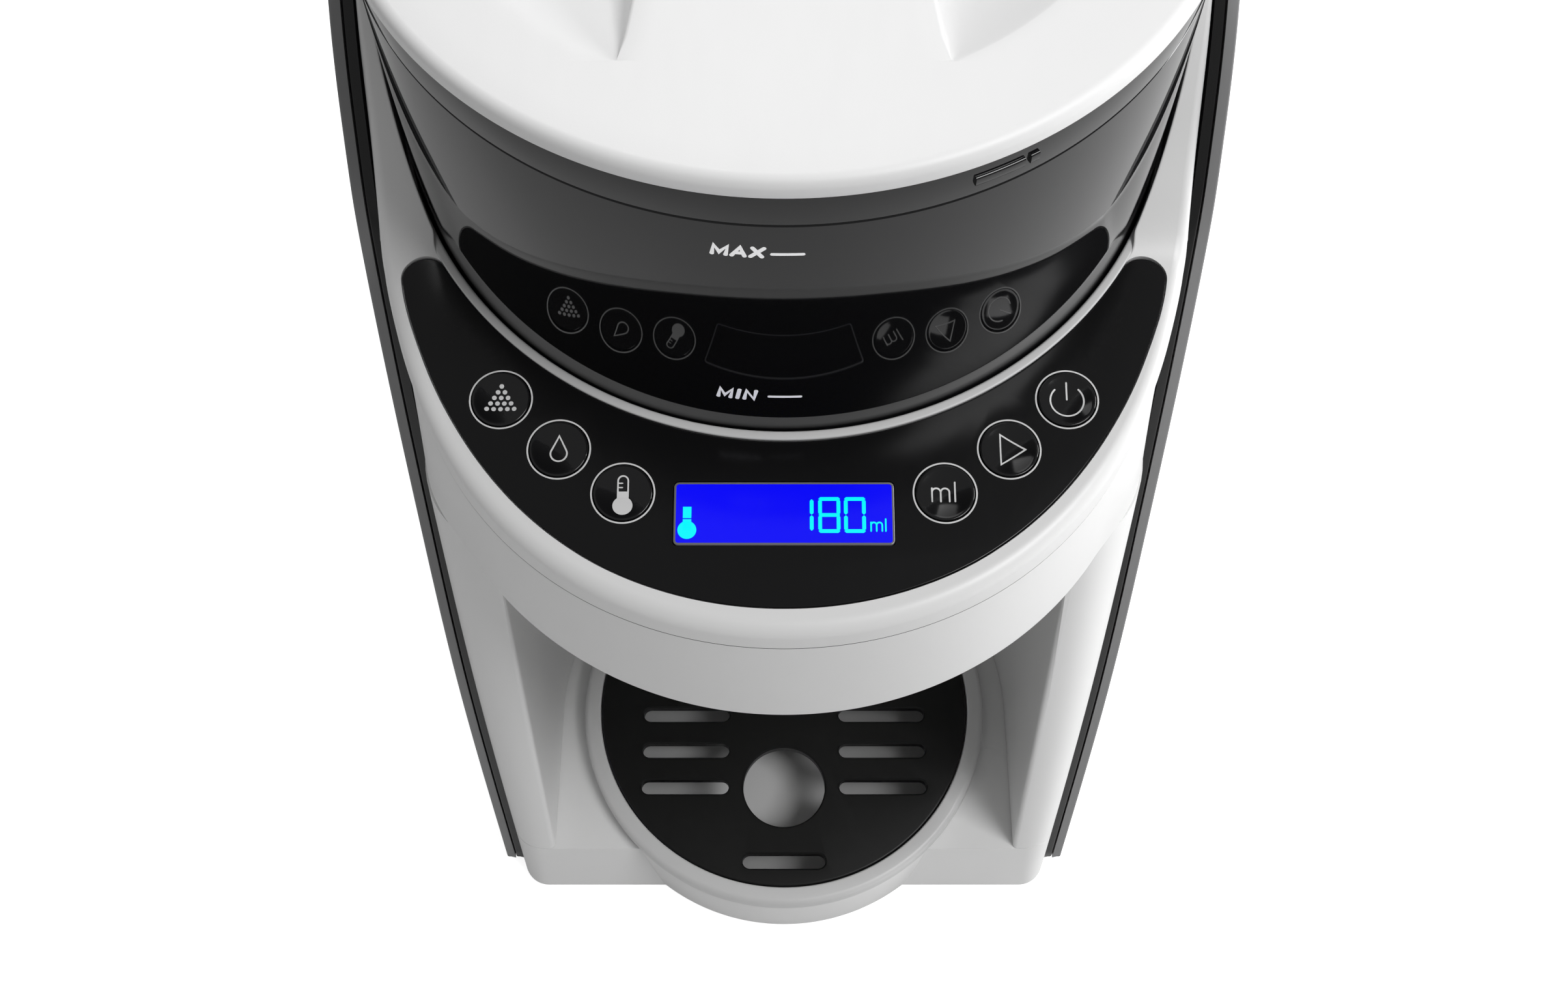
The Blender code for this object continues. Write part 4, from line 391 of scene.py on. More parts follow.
STEEL = moulding("drawn_steel", (0.55, 0.56, 0.58), 0.28, grain=0.15, metallic=1.0, lines=True)
BOARD_GREEN = moulding("circuit_board", (0.02, 0.11, 0.045), 0.42, grain=0.10, scale=500.0, tone=0.2)
SCREEN_BLUE = glowing("lit_blue", (0.0, 0.0, 1.0), 0.93)
SCREEN_CYAN = glowing("lit_cyan", (0.0, 0.95, 1.0), 0.98)


# Profiles and paths
def rounded(corners, radii, steps=5):
    """A profile whose corners are arcs touching both sides: the arc's centre lies on the corner's
    bisector at radius / sin(half the corner's angle)."""
    corners = np.array(corners, float)
    line = [corners[:1]]
    for before, corner, after, radius in zip(corners, corners[1:], corners[2:], radii[1:]):
        if radius <= 0:
            line.append(corner[None])
            continue
        sides = np.stack([before, after]) - corner
        reach = 0.499 * np.linalg.norm(sides, axis=1).min()
        sides = unit(sides)
        half = math.acos(float(np.clip(sides[0] @ sides[1], -1, 1))) / 2
        tangent = min(radius / math.tan(half), reach)
        radius = tangent * math.tan(half)
        centre = corner + unit(sides.sum(0, keepdims=True)) * radius / math.sin(half)
        start, end = [math.atan2(y, x) for x, y in corner + sides * tangent - centre]
        sweep = (end - start + math.pi) % (2 * math.pi) - math.pi
        turns = start + sweep * np.linspace(0, 1, steps + 1)
        line.append(centre + radius * np.stack([np.cos(turns), np.sin(turns)], 1))
    return np.vstack([*line, corners[-1:]])


def arc(x, y, radius, start, end, steps):
    """A path along a circle and its outward normals."""
    turns = np.linspace(start, end, steps + 1)
    normals = np.stack([np.cos(turns), np.sin(turns)], 1)
    return np.array([x, y]) + radius * normals, normals


def arc_path(x, y, radius, steps=72):
    """A whole circle as a path."""
    points, normals = arc(x, y, radius, 0, 2 * math.pi, steps)
    return points[:-1], normals[:-1]


def straight(a, b, steps, normal):
    """A straight path from a to b, its ends left out, and its normals."""
    shares = np.linspace(0, 1, steps + 2)[1:-1, None]
    points = np.array(a) * (1 - shares) + np.array(b) * shares
    return points, np.tile(np.array(normal, float), (steps, 1))


def chained(*paths):
    """Paths and their normals, end to end."""
    return np.vstack([p for p, _ in paths]), np.vstack([n for _, n in paths])


def quarter(count):
    """Angles over a quarter turn."""
    return np.linspace(0, math.pi / 2, count)


def unit(vectors):
    """Vectors brought to length one."""
    return vectors / np.linalg.norm(vectors, axis=1, keepdims=True)


def square_to(chords):
    """Unit normals on the right of a path's chords, which is outwards on an anticlockwise path."""
    return unit(np.stack([chords[:, 1], -chords[:, 0]], 1))


def body_half(y):
    """Half the body's width at a depth: full at the back, drawn in towards the nose."""
    share = np.clip((NARROWING_Y - y) / (NARROWING_Y - NOSE_Y), 0, None)
    return BODY_HALF - NOSE_TAPER * share ** 2


def through(knots, steps=24):
    """A Catmull-Rom line through knots, as two dense columns."""
    knots = np.array(knots, float)
    ends = np.vstack([2 * knots[0] - knots[1], knots, 2 * knots[-1] - knots[-2]])
    t = np.linspace(0, 1, steps, endpoint=False)[:, None]
    line = [0.5 * (2 * b + (c - a) * t + (2 * a - 5 * b + 4 * c - d) * t ** 2
                   + (3 * b - a - 3 * c + d) * t ** 3)
            for a, b, c, d in zip(ends, ends[1:], ends[2:], ends[3:])]
    return np.vstack(line + [knots[-1:]]).T


# The side plates' front and top edge
EDGE_Y, EDGE_Z = through(EDGE_SHARES)
EDGE_Y, EDGE_Z = NOSE_Y + EDGE_Y * (HOUSING_BACK_Y - NOSE_Y), EDGE_Z * COWL_TOP


def drawn_in(points, knots):
    """How far an outline is drawn in from its circle, by the angle forward from straight sideways."""
    turn = np.degrees(np.arctan2(HEAD_Y - points[:, 1], np.abs(points[:, 0])))
    return np.interp(turn, *through(knots)) * MM


def eased(share):
    """A share that starts and ends gently: 3 s^2 - 2 s^3."""
    return share ** 2 * (3 - 2 * share)


def deck_z(y):
    """Height of the tilted deck at a depth."""
    return DECK_Z + y * math.tan(DECK_TILT)


def ceiling_z(y):
    """The top of the head: the deck in front and the swept edge behind, joined by a smooth
    maximum: the higher of the two plus k/4 (1 - their difference/k) squared."""
    deck, sweep = deck_z(y), np.interp(y, EDGE_Y, EDGE_Z)
    share = np.clip(1 - np.abs(deck - sweep) / SWEEP_BLEND, 0, 1)
    return np.maximum(deck, sweep) + SWEEP_BLEND / 4 * share ** 2


def on_deck(points):
    """Points on the deck's own plane, carried to the row frame."""
    x, y, z = np.moveaxis(np.asarray(points, float), -1, 0)
    c, s = math.cos(DECK_TILT), math.sin(DECK_TILT)
    return np.stack([x, y * c - z * s, DECK_Z + y * s + z * c], -1)


# Meshes
def mesh_of(grids, caps=()):
    """A closed mesh from grids, and from caps that are whole rings of points. Each grid is
    (points, around, closed): around joins the last row to the first, closed the last column to
    the first. Seams and poles are merged and faces turned outwards."""
    vertices, faces, count = [], [], 0
    for points, around, closed in grids:
        rows, columns = points.shape[:2]
        index = count + np.arange(rows * columns).reshape(rows, columns)
        index = np.vstack([index, index[:1]]) if around else index
        index = np.hstack([index, index[:, :1]]) if closed else index
        quads = np.stack([index[:-1, :-1], index[1:, :-1], index[1:, 1:], index[:-1, 1:]], -1)
        vertices.append(points.reshape(-1, 3))
        faces += quads.reshape(-1, 4).tolist()
        count += rows * columns
    for ring in caps:
        vertices.append(ring)
        faces.append(list(range(count, count + len(ring))))
        count += len(ring)
    mesh = bpy.data.meshes.new("surface")
    mesh.from_pydata(np.vstack(vertices).tolist(), [], faces)
    work = bmesh.new()
    work.from_mesh(mesh)
    bmesh.ops.remove_doubles(work, verts=work.verts, dist=MERGED)
    bmesh.ops.dissolve_degenerate(work, edges=work.edges, dist=1e-7)
    bmesh.ops.recalc_face_normals(work, faces=work.faces)
    work.to_mesh(mesh)
    work.free()
    return mesh


def piece(name, mesh, finish, node=None, body="body"):
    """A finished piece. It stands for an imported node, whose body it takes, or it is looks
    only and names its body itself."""
    mesh.name = name
    thing = placed(name, mesh)
    mesh.materials.clear()
    mesh.materials.append(finish)
    mesh.shade_smooth()
    mesh.set_sharp_from_angle(angle=SHARP)
    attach(thing, HOMES[node] if node else body)
    if node:
        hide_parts(node)


def swept(profile, turns, x=0.0, y=0.0):
    """A profile (radius, height) at each of some angles about an upright axis."""
    turns, radius, height = turns[:, None], profile[None, :, 0], profile[None, :, 1]
    return np.stack(np.broadcast_arrays(x + radius * np.cos(turns), y + radius * np.sin(turns), height), -1)


def turned(profile, steps=240, x=0.0, y=0.0, closed=False):
    """A profile turned all round: a grid of angle by profile."""
    return swept(profile, np.linspace(0, 2 * math.pi, steps, endpoint=False), x, y), True, closed


def carried(path, profile):
    """A profile (inset, height) carried along a path: each point moves in along its normal."""
    points, normals = path
    place = points[:, None, :] - profile[None, :, :1] * normals[:, None, :]
    height = np.broadcast_to(profile[None, :, 1:], (*place.shape[:2], 1))
    return np.concatenate([place, height], -1)


def slab(path, profile, lift=None):
    """A flat piece: the profile carried round its outline, with a cap at each end of it."""
    grid = carried(path, profile)
    grid = grid if lift is None else lift(grid)
    return mesh_of([(grid, True, False)], [grid[:, 0], grid[::-1, -1]])


def changed(mesh, cutters, operation="DIFFERENCE"):
    """The mesh with cutters taken away or added, worked out exactly."""
    thing, *tools = [placed("blank", one) for one in (mesh, *cutters)]
    for tool in tools:
        modifier = thing.modifiers.new("cut", "BOOLEAN")
        modifier.operation, modifier.solver, modifier.object = operation, "EXACT", tool
    bpy.context.view_layer.update()
    graph = bpy.context.evaluated_depsgraph_get()
    made = bpy.data.meshes.new_from_object(thing.evaluated_get(graph))
    for tool in [thing, *tools]:
        bpy.data.objects.remove(tool)
    return made


def post(radius, low, high, x=0.0, y=0.0, steps=72):
    """A round cutter."""
    profile = np.array([(0, low), (radius, low), (radius, high), (0, high)])
    return mesh_of([turned(profile, steps, x, y)])


def block(low, high):
    """A box-shaped cutter."""
    (x0, y0, z0), (x1, y1, z1) = low, high
    ring = np.array([(x0, y0), (x1, y0), (x1, y1), (x0, y1)])
    return slab((ring, 0 * ring), np.array([(0, z0), (0, z1)]))


def rounded_rectangle(x, y, half_x, half_y, corner, steps=6):
    """A rectangle's outline with round corners, anticlockwise."""
    sides = [arc(x + sx * (half_x - corner), y + sy * (half_y - corner), corner,
                 quarter * math.pi / 2, (quarter + 1) * math.pi / 2, steps)
             for quarter, (sx, sy) in enumerate(((1, 1), (-1, 1), (-1, -1), (1, -1)))]
    return chained(*sides)


def merged_copy(node, bevel):
    """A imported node's mesh with its corners merged and its flat faces made whole, and its sharp
    edges rounded by a bevel."""
    mesh = frame["nodes"][node].data.copy()
    work = bmesh.new()
    work.from_mesh(mesh)
    bmesh.ops.remove_doubles(work, verts=work.verts, dist=MERGED)
    bmesh.ops.dissolve_limit(work, angle_limit=FLAT_ENOUGH, verts=work.verts, edges=work.edges)
    if bevel:
        sharp = [edge for edge in work.edges if len(edge.link_faces) == 2 and edge.calc_face_angle(0) > 0.6]
        bmesh.ops.bevel(work, geom=sharp, offset=bevel, segments=2, affect="EDGES", profile=0.5,
                        clamp_overlap=True)
    work.to_mesh(mesh)
    work.free()
    return mesh


# Lid
def dish_depth(x, y):
    """Depth of the spherical dish, its rim eased by a soft maximum."""
    h = DISH_DEPTH * (1 - (x * x + y * y) / DISH_RADIUS ** 2)
    return (h + np.sqrt(h * h + DISH_EASE ** 2)) / 2


def lid_face(radius, top, grip_inset, angles):
    """One face of the lid inside a circle. Rows run across at depths radius * sin(angle); in each
    row the columns follow the grip's edge, its wall and the dish's floor."""
    y = (radius * np.sin(angles))[:, None]
    end = radius * np.cos(angles)[:, None]
    edge = GRIP_HALF + GRIP_FLARE * (y / DISH_RADIUS) ** 2 - grip_inset
    rim = np.sqrt(np.clip((DISH_RADIUS - grip_inset) ** 2 - y ** 2, 0, None))
    open_row = (np.abs(y) < DISH_RADIUS - grip_inset) & (rim > edge + 2.4 * GRIP_ROUND)
    foot = edge + 2.2 * GRIP_ROUND
    depth = np.where(open_row, dish_depth(foot, y), 0)
    turns = quarter(6)[None]
    crown = np.minimum(GRIP_ROUND, depth / 2)
    root = np.minimum(1.2 * GRIP_ROUND, depth / 2)
    x_top = edge - crown + crown * np.sin(turns)
    z_top = -crown * (1 - np.cos(turns))
    x_low = edge + GRIP_DRAFT * depth + root * (1 - np.cos(turns))
    z_low = -(depth - root) - root * np.sin(turns)
    shares = np.linspace(0, 1, 26)[None, 1:]
    far = np.where(open_row, rim, np.maximum(foot, np.minimum(rim, end)))
    x_floor = x_low[:, -1:] + (far - x_low[:, -1:]) * np.sin(shares * math.pi / 2) ** 0.9
    z_floor = np.where(open_row, -dish_depth(x_floor, y), 0)
    z_floor[:, :3] += (z_low[:, -1:] - z_floor[:, :1]) * np.array([[0.6, 0.25, 0.08]])
    x_far = far + (end - far) * np.linspace(0, 1, 7)[None, 1:]
    z_far = np.where(open_row, -dish_depth(x_far, y), 0)
    x_mid = x_top[:, :1] * np.linspace(0, 1, 8)[None, :-1]
    right_x = np.hstack([x_mid, x_top, x_low, x_floor, x_far])
    right_z = np.hstack([0 * x_mid, z_top, z_low, z_floor, z_far])
    right_x[:, :-1] = np.minimum(right_x[:, :-1], np.maximum(end - HAIR, 0))
    right_x = np.maximum.accumulate(right_x, 1)
    right_z = np.where(np.abs(y) > radius * 0.9999, 0, right_z)
    x = np.hstack([-right_x[:, :0:-1], right_x])
    z = top + np.hstack([right_z[:, :0:-1], right_z])
    return np.stack([x, np.broadcast_to(y, x.shape), z], -1)


def ring_between(face, profile):
    """Rings outside a face's rim: the same angles, at the profile's radii and heights."""
    rim = np.vstack([face[:, -1], face[::-1, 0]])
    return swept(profile, np.arctan2(rim[:, 1], rim[:, 0]))


def powder_lid():
    """The lid: a disc with a rounded edge whose spherical dish is crossed by a waisted grip bar."""
    corner = math.asin(GRIP_CORNER_Y / LID_FACE)
    rows = np.unique(np.concatenate([np.linspace(-math.pi / 2, math.pi / 2, 181),
                                     [corner, -corner, corner - 0.004, 0.004 - corner]]))
    face = lid_face(LID_FACE, LID_TOP, 0.0, rows)
    plug = PLUG_RADIUS - WALL
    edge = rounded([(LID_FACE, LID_TOP), (LID_RADIUS, LID_TOP), (LID_RADIUS, LID_SEAT),
                    (PLUG_RADIUS, LID_SEAT), (PLUG_RADIUS, PLUG_BOTTOM), (plug, PLUG_BOTTOM),
                    (plug, LID_SEAT)],
                   [0, LID_ROUND, 0.4 * MM, 0.5 * MM, 0.8 * MM, 0.8 * MM, 0], 9)
    under = lid_face(plug, LID_TOP - LID_SKIN, WALL, rows)
    x, y, z = np.moveaxis(under, -1, 0)
    grip = (np.abs(x) < GRIP_HALF - 2.5 * MM) & (np.hypot(x, y) < GRIP_HOLLOW)
    under[..., 2] = np.where((z > LID_SEAT) & ~grip, LID_SEAT, z)
    mesh = mesh_of([(face, False, False), (ring_between(face, edge), True, False), (under, False, False)])
    piece("lid_moulding", mesh, LID_WHITE, "powder_lid")


# Drum and socket
def drum_radius(z):
    """The drum's outer radius at a height: its wall draws in evenly towards the mouth."""
    return DRUM_RADIUS + (DRUM_TOP_RADIUS - DRUM_RADIUS) * (z - DRUM_FLOOR_Z) / (DRUM_TOP - DRUM_FLOOR_Z)


def drum():
    """The smoked drum: a plain upright wall with a fine seam under its mouth."""
    at_seam, inner = drum_radius(DRUM_SEAM_Z), DRUM_RADIUS - DRUM_WALL
    corners = [(DRUM_BORE, DRUM_FLOOR_Z), (DRUM_RADIUS, DRUM_FLOOR_Z), (at_seam, DRUM_SEAM_Z - DRUM_SEAM),
               (at_seam - 1.2 * DRUM_SEAM, DRUM_SEAM_Z), (at_seam, DRUM_SEAM_Z + DRUM_SEAM),
               (DRUM_TOP_RADIUS, DRUM_TOP), (inner, DRUM_TOP), (inner, DRUM_FLOOR_Z + DRUM_FLOOR),
               (DRUM_BORE, DRUM_FLOOR_Z + DRUM_FLOOR)]
    profile = rounded(corners, [0, 1.5 * MM, 0.15 * MM, 0, 0.15 * MM, 0.5 * MM, 0.5 * MM, 2 * MM, 0], 4)
    mesh = mesh_of([turned(profile, 360, closed=True)])
    mesh = changed(mesh, [post(OUTLET_RADIUS, DRUM_FLOOR_Z - CUT, DRUM_FLOOR_Z + 1.5 * CUT, 0, OUTLET_Y)])
    piece("drum_wall", mesh, SMOKE, "powder_container")


def lock_marks():
    """The raised lock bar and dot on the drum's rim band, right of the front."""
    inner, outer = DRUM_TOP_RADIUS - 1.0 * MM, DRUM_TOP_RADIUS + 0.75 * MM
    low, high = LOCK_Z - LOCK_HEIGHT / 2, LOCK_Z + LOCK_HEIGHT / 2
    section = rounded([(inner, low), (outer, low), (outer, high), (inner, high)],
                      [0, 0.5 * MM, 0.5 * MM, 0], 4)
    grids = []
    for start, end in LOCK_ANGLES:
        turns = np.radians(np.linspace(start, end, 14) - 90)
        grids.append((swept(section, turns), False, True))
    caps = [g[0][k] for g in grids for k in (0, -1)]
    piece("lock_marks", mesh_of(grids, caps), SMOKE, body="container")


def socket():
    """The light grey cup that the drum drops into; its lip stands just above the deck."""
    turns = np.linspace(0, 2 * math.pi, 300, endpoint=False)[:, None]
    low, floor = SOCKET_FLOOR_Z, SOCKET_FLOOR_Z + SOCKET_FLOOR
    under = 0.05 * MM - SOCKET_PROUD
    lip = rounded([(SOCKET_OUTER, -SOCKET_DROP), (SOCKET_OUTER, under), (SOCKET_LIP_OUTER, under),
                   (SOCKET_LIP_OUTER, 0), (SOCKET_LIP_INNER, 0), (SOCKET_LIP_INNER, -1.6 * MM),
                   (SOCKET_INNER, -2.0 * MM), (SOCKET_INNER, -SOCKET_DROP)],
                  [0, 0, 0.2 * MM, 0.5 * MM, 0.8 * MM, 0, 0, 0], 5)
    radius = np.concatenate([[SOCKET_BORE, SOCKET_OUTER], lip[:, 0], [SOCKET_INNER, SOCKET_BORE]])[None]
    x, y = radius * np.cos(turns), radius * np.sin(turns)
    z = np.tile(np.concatenate([[low, low], lip[:, 1], [floor, floor]]), (len(turns), 1))
    top = deck_z(y) + SOCKET_PROUD / math.cos(DECK_TILT)
    z[:, 2:-2] = np.maximum((top + z)[:, 2:-2], floor + 1.0 * MM)
    mesh = mesh_of([(np.stack([x, y, z], -1), True, True)])
    mesh = changed(mesh, [post(OUTLET_RADIUS + GAP, low - CUT, floor + 1.5 * CUT, 0, OUTLET_Y)])
    piece("socket_cup", mesh, LIGHT_GREY, "container_socket")


# Head
def nose_path():
    """The head's front: half a circle drawn in a little at both shoulders."""
    turns = np.concatenate([np.linspace(0, 0.4, 70)[:-1], np.linspace(0.4, math.pi - 0.4, 200),
                            np.linspace(math.pi - 0.4, math.pi, 70)[1:]]) + math.pi
    normals = np.stack([np.cos(turns), np.sin(turns)], 1)
    points = np.array([0, HEAD_Y]) + HEAD_RADIUS * normals
    points = points - drawn_in(points, HEAD_DRAW)[:, None] * normals
    return points, square_to(np.gradient(points, axis=0))


def head_path(back_y, corner):
    """The head from above: straight sides ending in the round front, anticlockwise."""
    r = HEAD_RADIUS
    return chained(
        nose_path(),
        straight((r, HEAD_Y), (r, 0), 90, (1, 0)),
        straight((r, -0.0005), (r, back_y - corner), 60, (1, 0)),
        arc(r - corner, back_y - corner, corner, 0, math.pi / 2, 6),
        straight((r - corner, back_y), (corner - r, back_y), 60, (0, 1)),
        arc(corner - r, back_y - corner, corner, math.pi / 2, math.pi, 6),
        straight((-r, back_y - corner), (-r, -0.0005), 60, (-1, 0)),
        straight((-r, 0), (-r, HEAD_Y), 90, (-1, 0)))


def crescent(grow=0.0, steps=110):
    """The panel's outline seen from above: an arc about the head's middle and one about the
    drum's, joined at each end by a circle that touches both."""
    outer, inner, radius = PANEL_RADIUS, PANEL_INNER, PANEL_END_ROUND
    far, near = inner + radius, outer - radius
    y = (far ** 2 - near ** 2 + HEAD_Y ** 2) / (2 * HEAD_Y)
    x = math.sqrt(far ** 2 - y ** 2)
    inner_turn, outer_turn = math.atan2(y, x), math.atan2(y - HEAD_Y, x)
    down = -math.pi / 2
    rim, out = arc(0, HEAD_Y, outer, down, outer_turn, steps)
    rim = rim - drawn_in(rim, PANEL_DRAW)[:, None] * out
    end = arc(x, y, radius, outer_turn, inner_turn + math.pi, 24)[0][1:-1]
    share = (1 + np.cos(np.linspace(0, math.pi, len(end))))[:, None] / 2
    end = end - drawn_in(rim[-1:], PANEL_DRAW) * share * out[-1:]
    right = np.vstack([rim, end, arc(0, 0, inner, inner_turn, down, steps)[0]])
    left = right[1:-1][::-1] * np.array([-1, 1])
    outline = np.vstack([right, left])
    outline[:, 1] /= math.cos(DECK_TILT)
    normals = square_to(np.roll(outline, -1, 0) - np.roll(outline, 1, 0))
    return outline + grow * normals, normals


def deck_prism(path, low, high):
    """A cutter square to the deck."""
    return slab(path, np.array([(0, low), (0, high)]), on_deck)


def top_shell():
    """The tilted deck and the cowl round the drum. Each line across runs from the outer wall,
    over the rounded rim and along the top to the drum's well, then back underneath."""
    points, normals = head_path(HOUSING_BACK_Y, HEAD_CORNER)
    room = np.hypot(*points.T) - WELL_RADIUS
    soft = np.minimum(np.interp(points[:, 1], *RIM_ROUNDS), 0.62 * room)[:, None]
    turns = quarter(9)[None]
    upright = np.zeros((len(points), 3))
    inset = np.hstack([upright, soft * (1 - np.cos(turns))])
    place = points[:, None] - inset[..., None] * normals[:, None]
    z = ceiling_z(place[..., 1]) - np.hstack([upright, soft * (1 - np.sin(turns))])
    foot = SEAM_Z + SEAM_SHOWN
    z[:, 0], z[:, 1], z[:, 2] = foot, foot + EDGE_SOFT, (z[:, 3] + foot) / 2
    place[:, 0] -= EDGE_SOFT * normals
    last = place[:, -1]
    out = unit(last)
    near = (out * WELL_RADIUS)[:, None]
    above = ceiling_z(near[:, 0, 1]) - deck_z(near[:, 0, 1]) - COWL_START
    close = (WELL_RADIUS - COWL_REACH * eased(np.clip(above / COWL_RISE, 0, 1)))[:, None]
    lip = np.minimum(COWL_LIP, 0.2 * room)[:, None]
    shares = np.concatenate([[0.012], np.linspace(0, 1, 15)[1:-1], [0.988, 1.0]])[None, :, None]
    across = last[:, None] * (1 - shares) + (out * (close + lip))[:, None] * shares
    fall = quarter(5)[None, 1:]
    curl = out[:, None] * (close + lip * (1 - np.sin(fall)))[..., None]
    z_curl = ceiling_z(curl[..., 1]) - lip * (1 - np.cos(fall))
    step = out[:, None] * np.stack([close, np.full_like(close, WELL_RADIUS)], 1)
    z_step = np.minimum(deck_z(step[..., 1]) + COWL_FOOT, z_curl[:, -1:] - HAIR)
    wall = np.minimum(WALL, 0.34 * room)[:, None]
    far = (out * (WELL_RADIUS + wall / 2))[:, None]
    within = (points - wall * normals)[:, None]
    xy = np.concatenate([place, across, curl, step, near, far, far, within, within], 1)
    flat = np.full((len(points), 1), foot)
    z = np.concatenate([z, ceiling_z(across[..., 1]), z_curl, z_step, flat, flat,
                        ceiling_z(far[..., 1]) - WALL, ceiling_z(within[..., 1]) - WALL, flat], 1)
    mesh = mesh_of([(np.dstack([xy, z]), True, True)])
    recess = deck_prism(crescent(PANEL_ROOM), -PANEL_THICKNESS - PANEL_SINK - GAP, CUT)
    mesh = changed(mesh, [recess, deck_prism(crescent(-PANEL_LEDGE), -1.5 * CUT, CUT)])
    piece("deck_and_cowl", mesh, WHITE, "top_shell")


def seam_shade_strip():
    """A dark strip in the seam between the deck's moulding and the wall under it: painted shade standing in
    for the shadow inside the gap.
    """
    low, high = SEAM_Z - GAP + HAIR / 2, SEAM_Z + SEAM_SHOWN - HAIR / 2
    profile = np.array([(2 * HAIR, low), (2 * HAIR, high), (2.4 * MM, high), (2.4 * MM, low)])
    grid = carried(head_path(HOUSING_BACK_Y, HEAD_CORNER), profile)
    piece("seam_shade_strip", mesh_of([(grid, True, True)]), RUBBER)


def head_ring():
    """The white wall under the deck, its foot rounded. At the shoulders its foot swells from the
    circle to the black trim, and it leans in towards the seam, up to the deck's outline."""
    r = HEAD_RADIUS
    path = chained(straight((-r, RING_BACK_Y + 0.0001), (-r, HEAD_Y), 10, (-1, 0)),
                   arc(0, HEAD_Y, r, math.pi, 2 * math.pi, 300),
                   straight((r, HEAD_Y), (r, RING_BACK_Y + 0.0001), 10, (1, 0)))
    low, high = HEAD_BOTTOM + GAP, SEAM_Z - GAP
    profile = rounded([(WALL, (low + high) / 2), (WALL, high), (0, high), (0, low), (WALL, low),
                       (WALL, (low + high) / 2 - 0.001)],
                      [0, 0, EDGE_SOFT, RING_FOOT_ROUND, 0.3 * MM, 0], 8)
    grid = carried(path, profile)
    share = ((grid[..., 2:] - low) / (high - low)) ** 2
    grid[..., :2] -= (path[1] * drawn_in(path[0], HEAD_DRAW)[:, None])[:, None] * share
    x, y = path[0].T
    fade = np.clip((SWELL_ANGLES[1] - np.degrees(np.arctan2(HEAD_Y - y, np.abs(x))))
                   / (SWELL_ANGLES[1] - SWELL_ANGLES[0]), 0, 1)
    beside = body_half(y) - SHELL_INSET - 0.2 * MM - np.abs(x)
    grid[..., 0] += (np.sign(x) * np.clip(beside, 0, None) * eased(fade))[:, None] * (1 - share[..., 0])
    mesh = mesh_of([(grid, False, True)], [grid[0], grid[-1]])
    piece("head_wall", mesh, WHITE, "head_ring")


# Control panel, buttons, signs
def control_panel():
    """The gloss black crescent with a fine rounded edge, six button holes and the display's hole."""
    top, low = -PANEL_SINK, -PANEL_SINK - PANEL_THICKNESS
    profile = rounded([(0.02, top), (0, top), (0, low), (0.02, low)], [0, 0.30 * MM, 0, 0], 4)[1:-1]
    outlines = [arc_path(x, y, BUTTON_RADIUS + GAP) for x, y in BUTTONS.values()]
    outlines.append(rounded_rectangle(0, DISPLAY_Y, DISPLAY_WIDTH / 2 + 0.2 * MM,
                                      DISPLAY_HEIGHT / 2 + 0.2 * MM, DISPLAY_CORNER))
    mesh = changed(slab(crescent(), profile, on_deck), [deck_prism(line, -CUT, CUT) for line in outlines])
    piece("panel_face", mesh, PANEL_BLACK, "control_panel")


def cap_height(square):
    """Height of a cap's shallow dish above the deck, by the square of the way out from its middle."""
    return CAP_TOP - CAP_DISH * (1 - np.clip(square / CAP_FLAT ** 2, 0, 1))


def button_caps():
    """Six caps, each with a shallow spherical dish and a fine rounded edge, on a stem."""
    radii = np.linspace(0, CAP_FLAT, 12)
    edge = rounded([(CAP_FLAT, CAP_TOP), (BUTTON_RADIUS, CAP_TOP), (BUTTON_RADIUS, CAP_TOP - CUT)],
                   [0, 0.45 * MM, 0], 5)
    stem = [(STEM_RADIUS, CAP_TOP - CUT), (STEM_RADIUS, STEM_FOOT), (0, STEM_FOOT)]
    profile = np.vstack([np.column_stack([radii, cap_height(radii ** 2)]), edge[1:], stem])
    for label, (x, y) in BUTTONS.items():
        grid, around, closed = turned(profile, 72, x, y)
        piece("cap_" + label, mesh_of([(on_deck(grid), around, closed)]), BUTTON_BLACK, "button_" + label)


def ribbon(points, width, loop=False, ends="round", base=0.0):
    """A printed stroke: a thin flat strip square to the line, mitred at corners. Its ends are
    half circles, points or cut straight, made by narrowing the last cross-sections."""
    points = np.array(points, float)
    if len(points) == 1:
        points = np.vstack([points, points + (1e-6, 0)])
    else:
        points = points[np.append(True, np.abs(np.diff(points, axis=0)).max(1) > 1e-6)]
    on = np.roll(points, -1, 0) - points if loop else np.diff(points, axis=0)
    on = unit(on)
    before = np.roll(on, 1, 0) if loop else np.vstack([on[:1], on])
    after = on if loop else np.vstack([on, on[-1:]])
    mean = unit(before + after)
    half = width / 2 / np.clip((mean * after).sum(1), 0.55, 1)
    side = np.stack([-mean[:, 1], mean[:, 0]], 1)
    if not loop and ends != "flat":
        turns = quarter(9 if ends == "round" else 2)[1:]
        ahead, narrow = np.sin(turns), np.cos(turns)
        first = points[:1] - on[:1] * (ahead[::-1, None] * width / 2)
        last = points[-1:] + on[-1:] * (ahead[:, None] * width / 2)
        count = len(turns)
        points = np.vstack([first, points, last])
        side = np.vstack([np.repeat(side[:1], count, 0), side, np.repeat(side[-1:], count, 0)])
        half = np.concatenate([narrow[::-1] * width / 2, half, narrow * width / 2])
    edges = points[:, None] + (side * half[:, None])[:, None] * np.array([[1], [1], [-1], [-1]])
    heights = np.tile(base + PRINT_THICK * np.array([0, 1, 1, 0]), (len(points), 1))
    return np.dstack([edges, heights]), loop, True


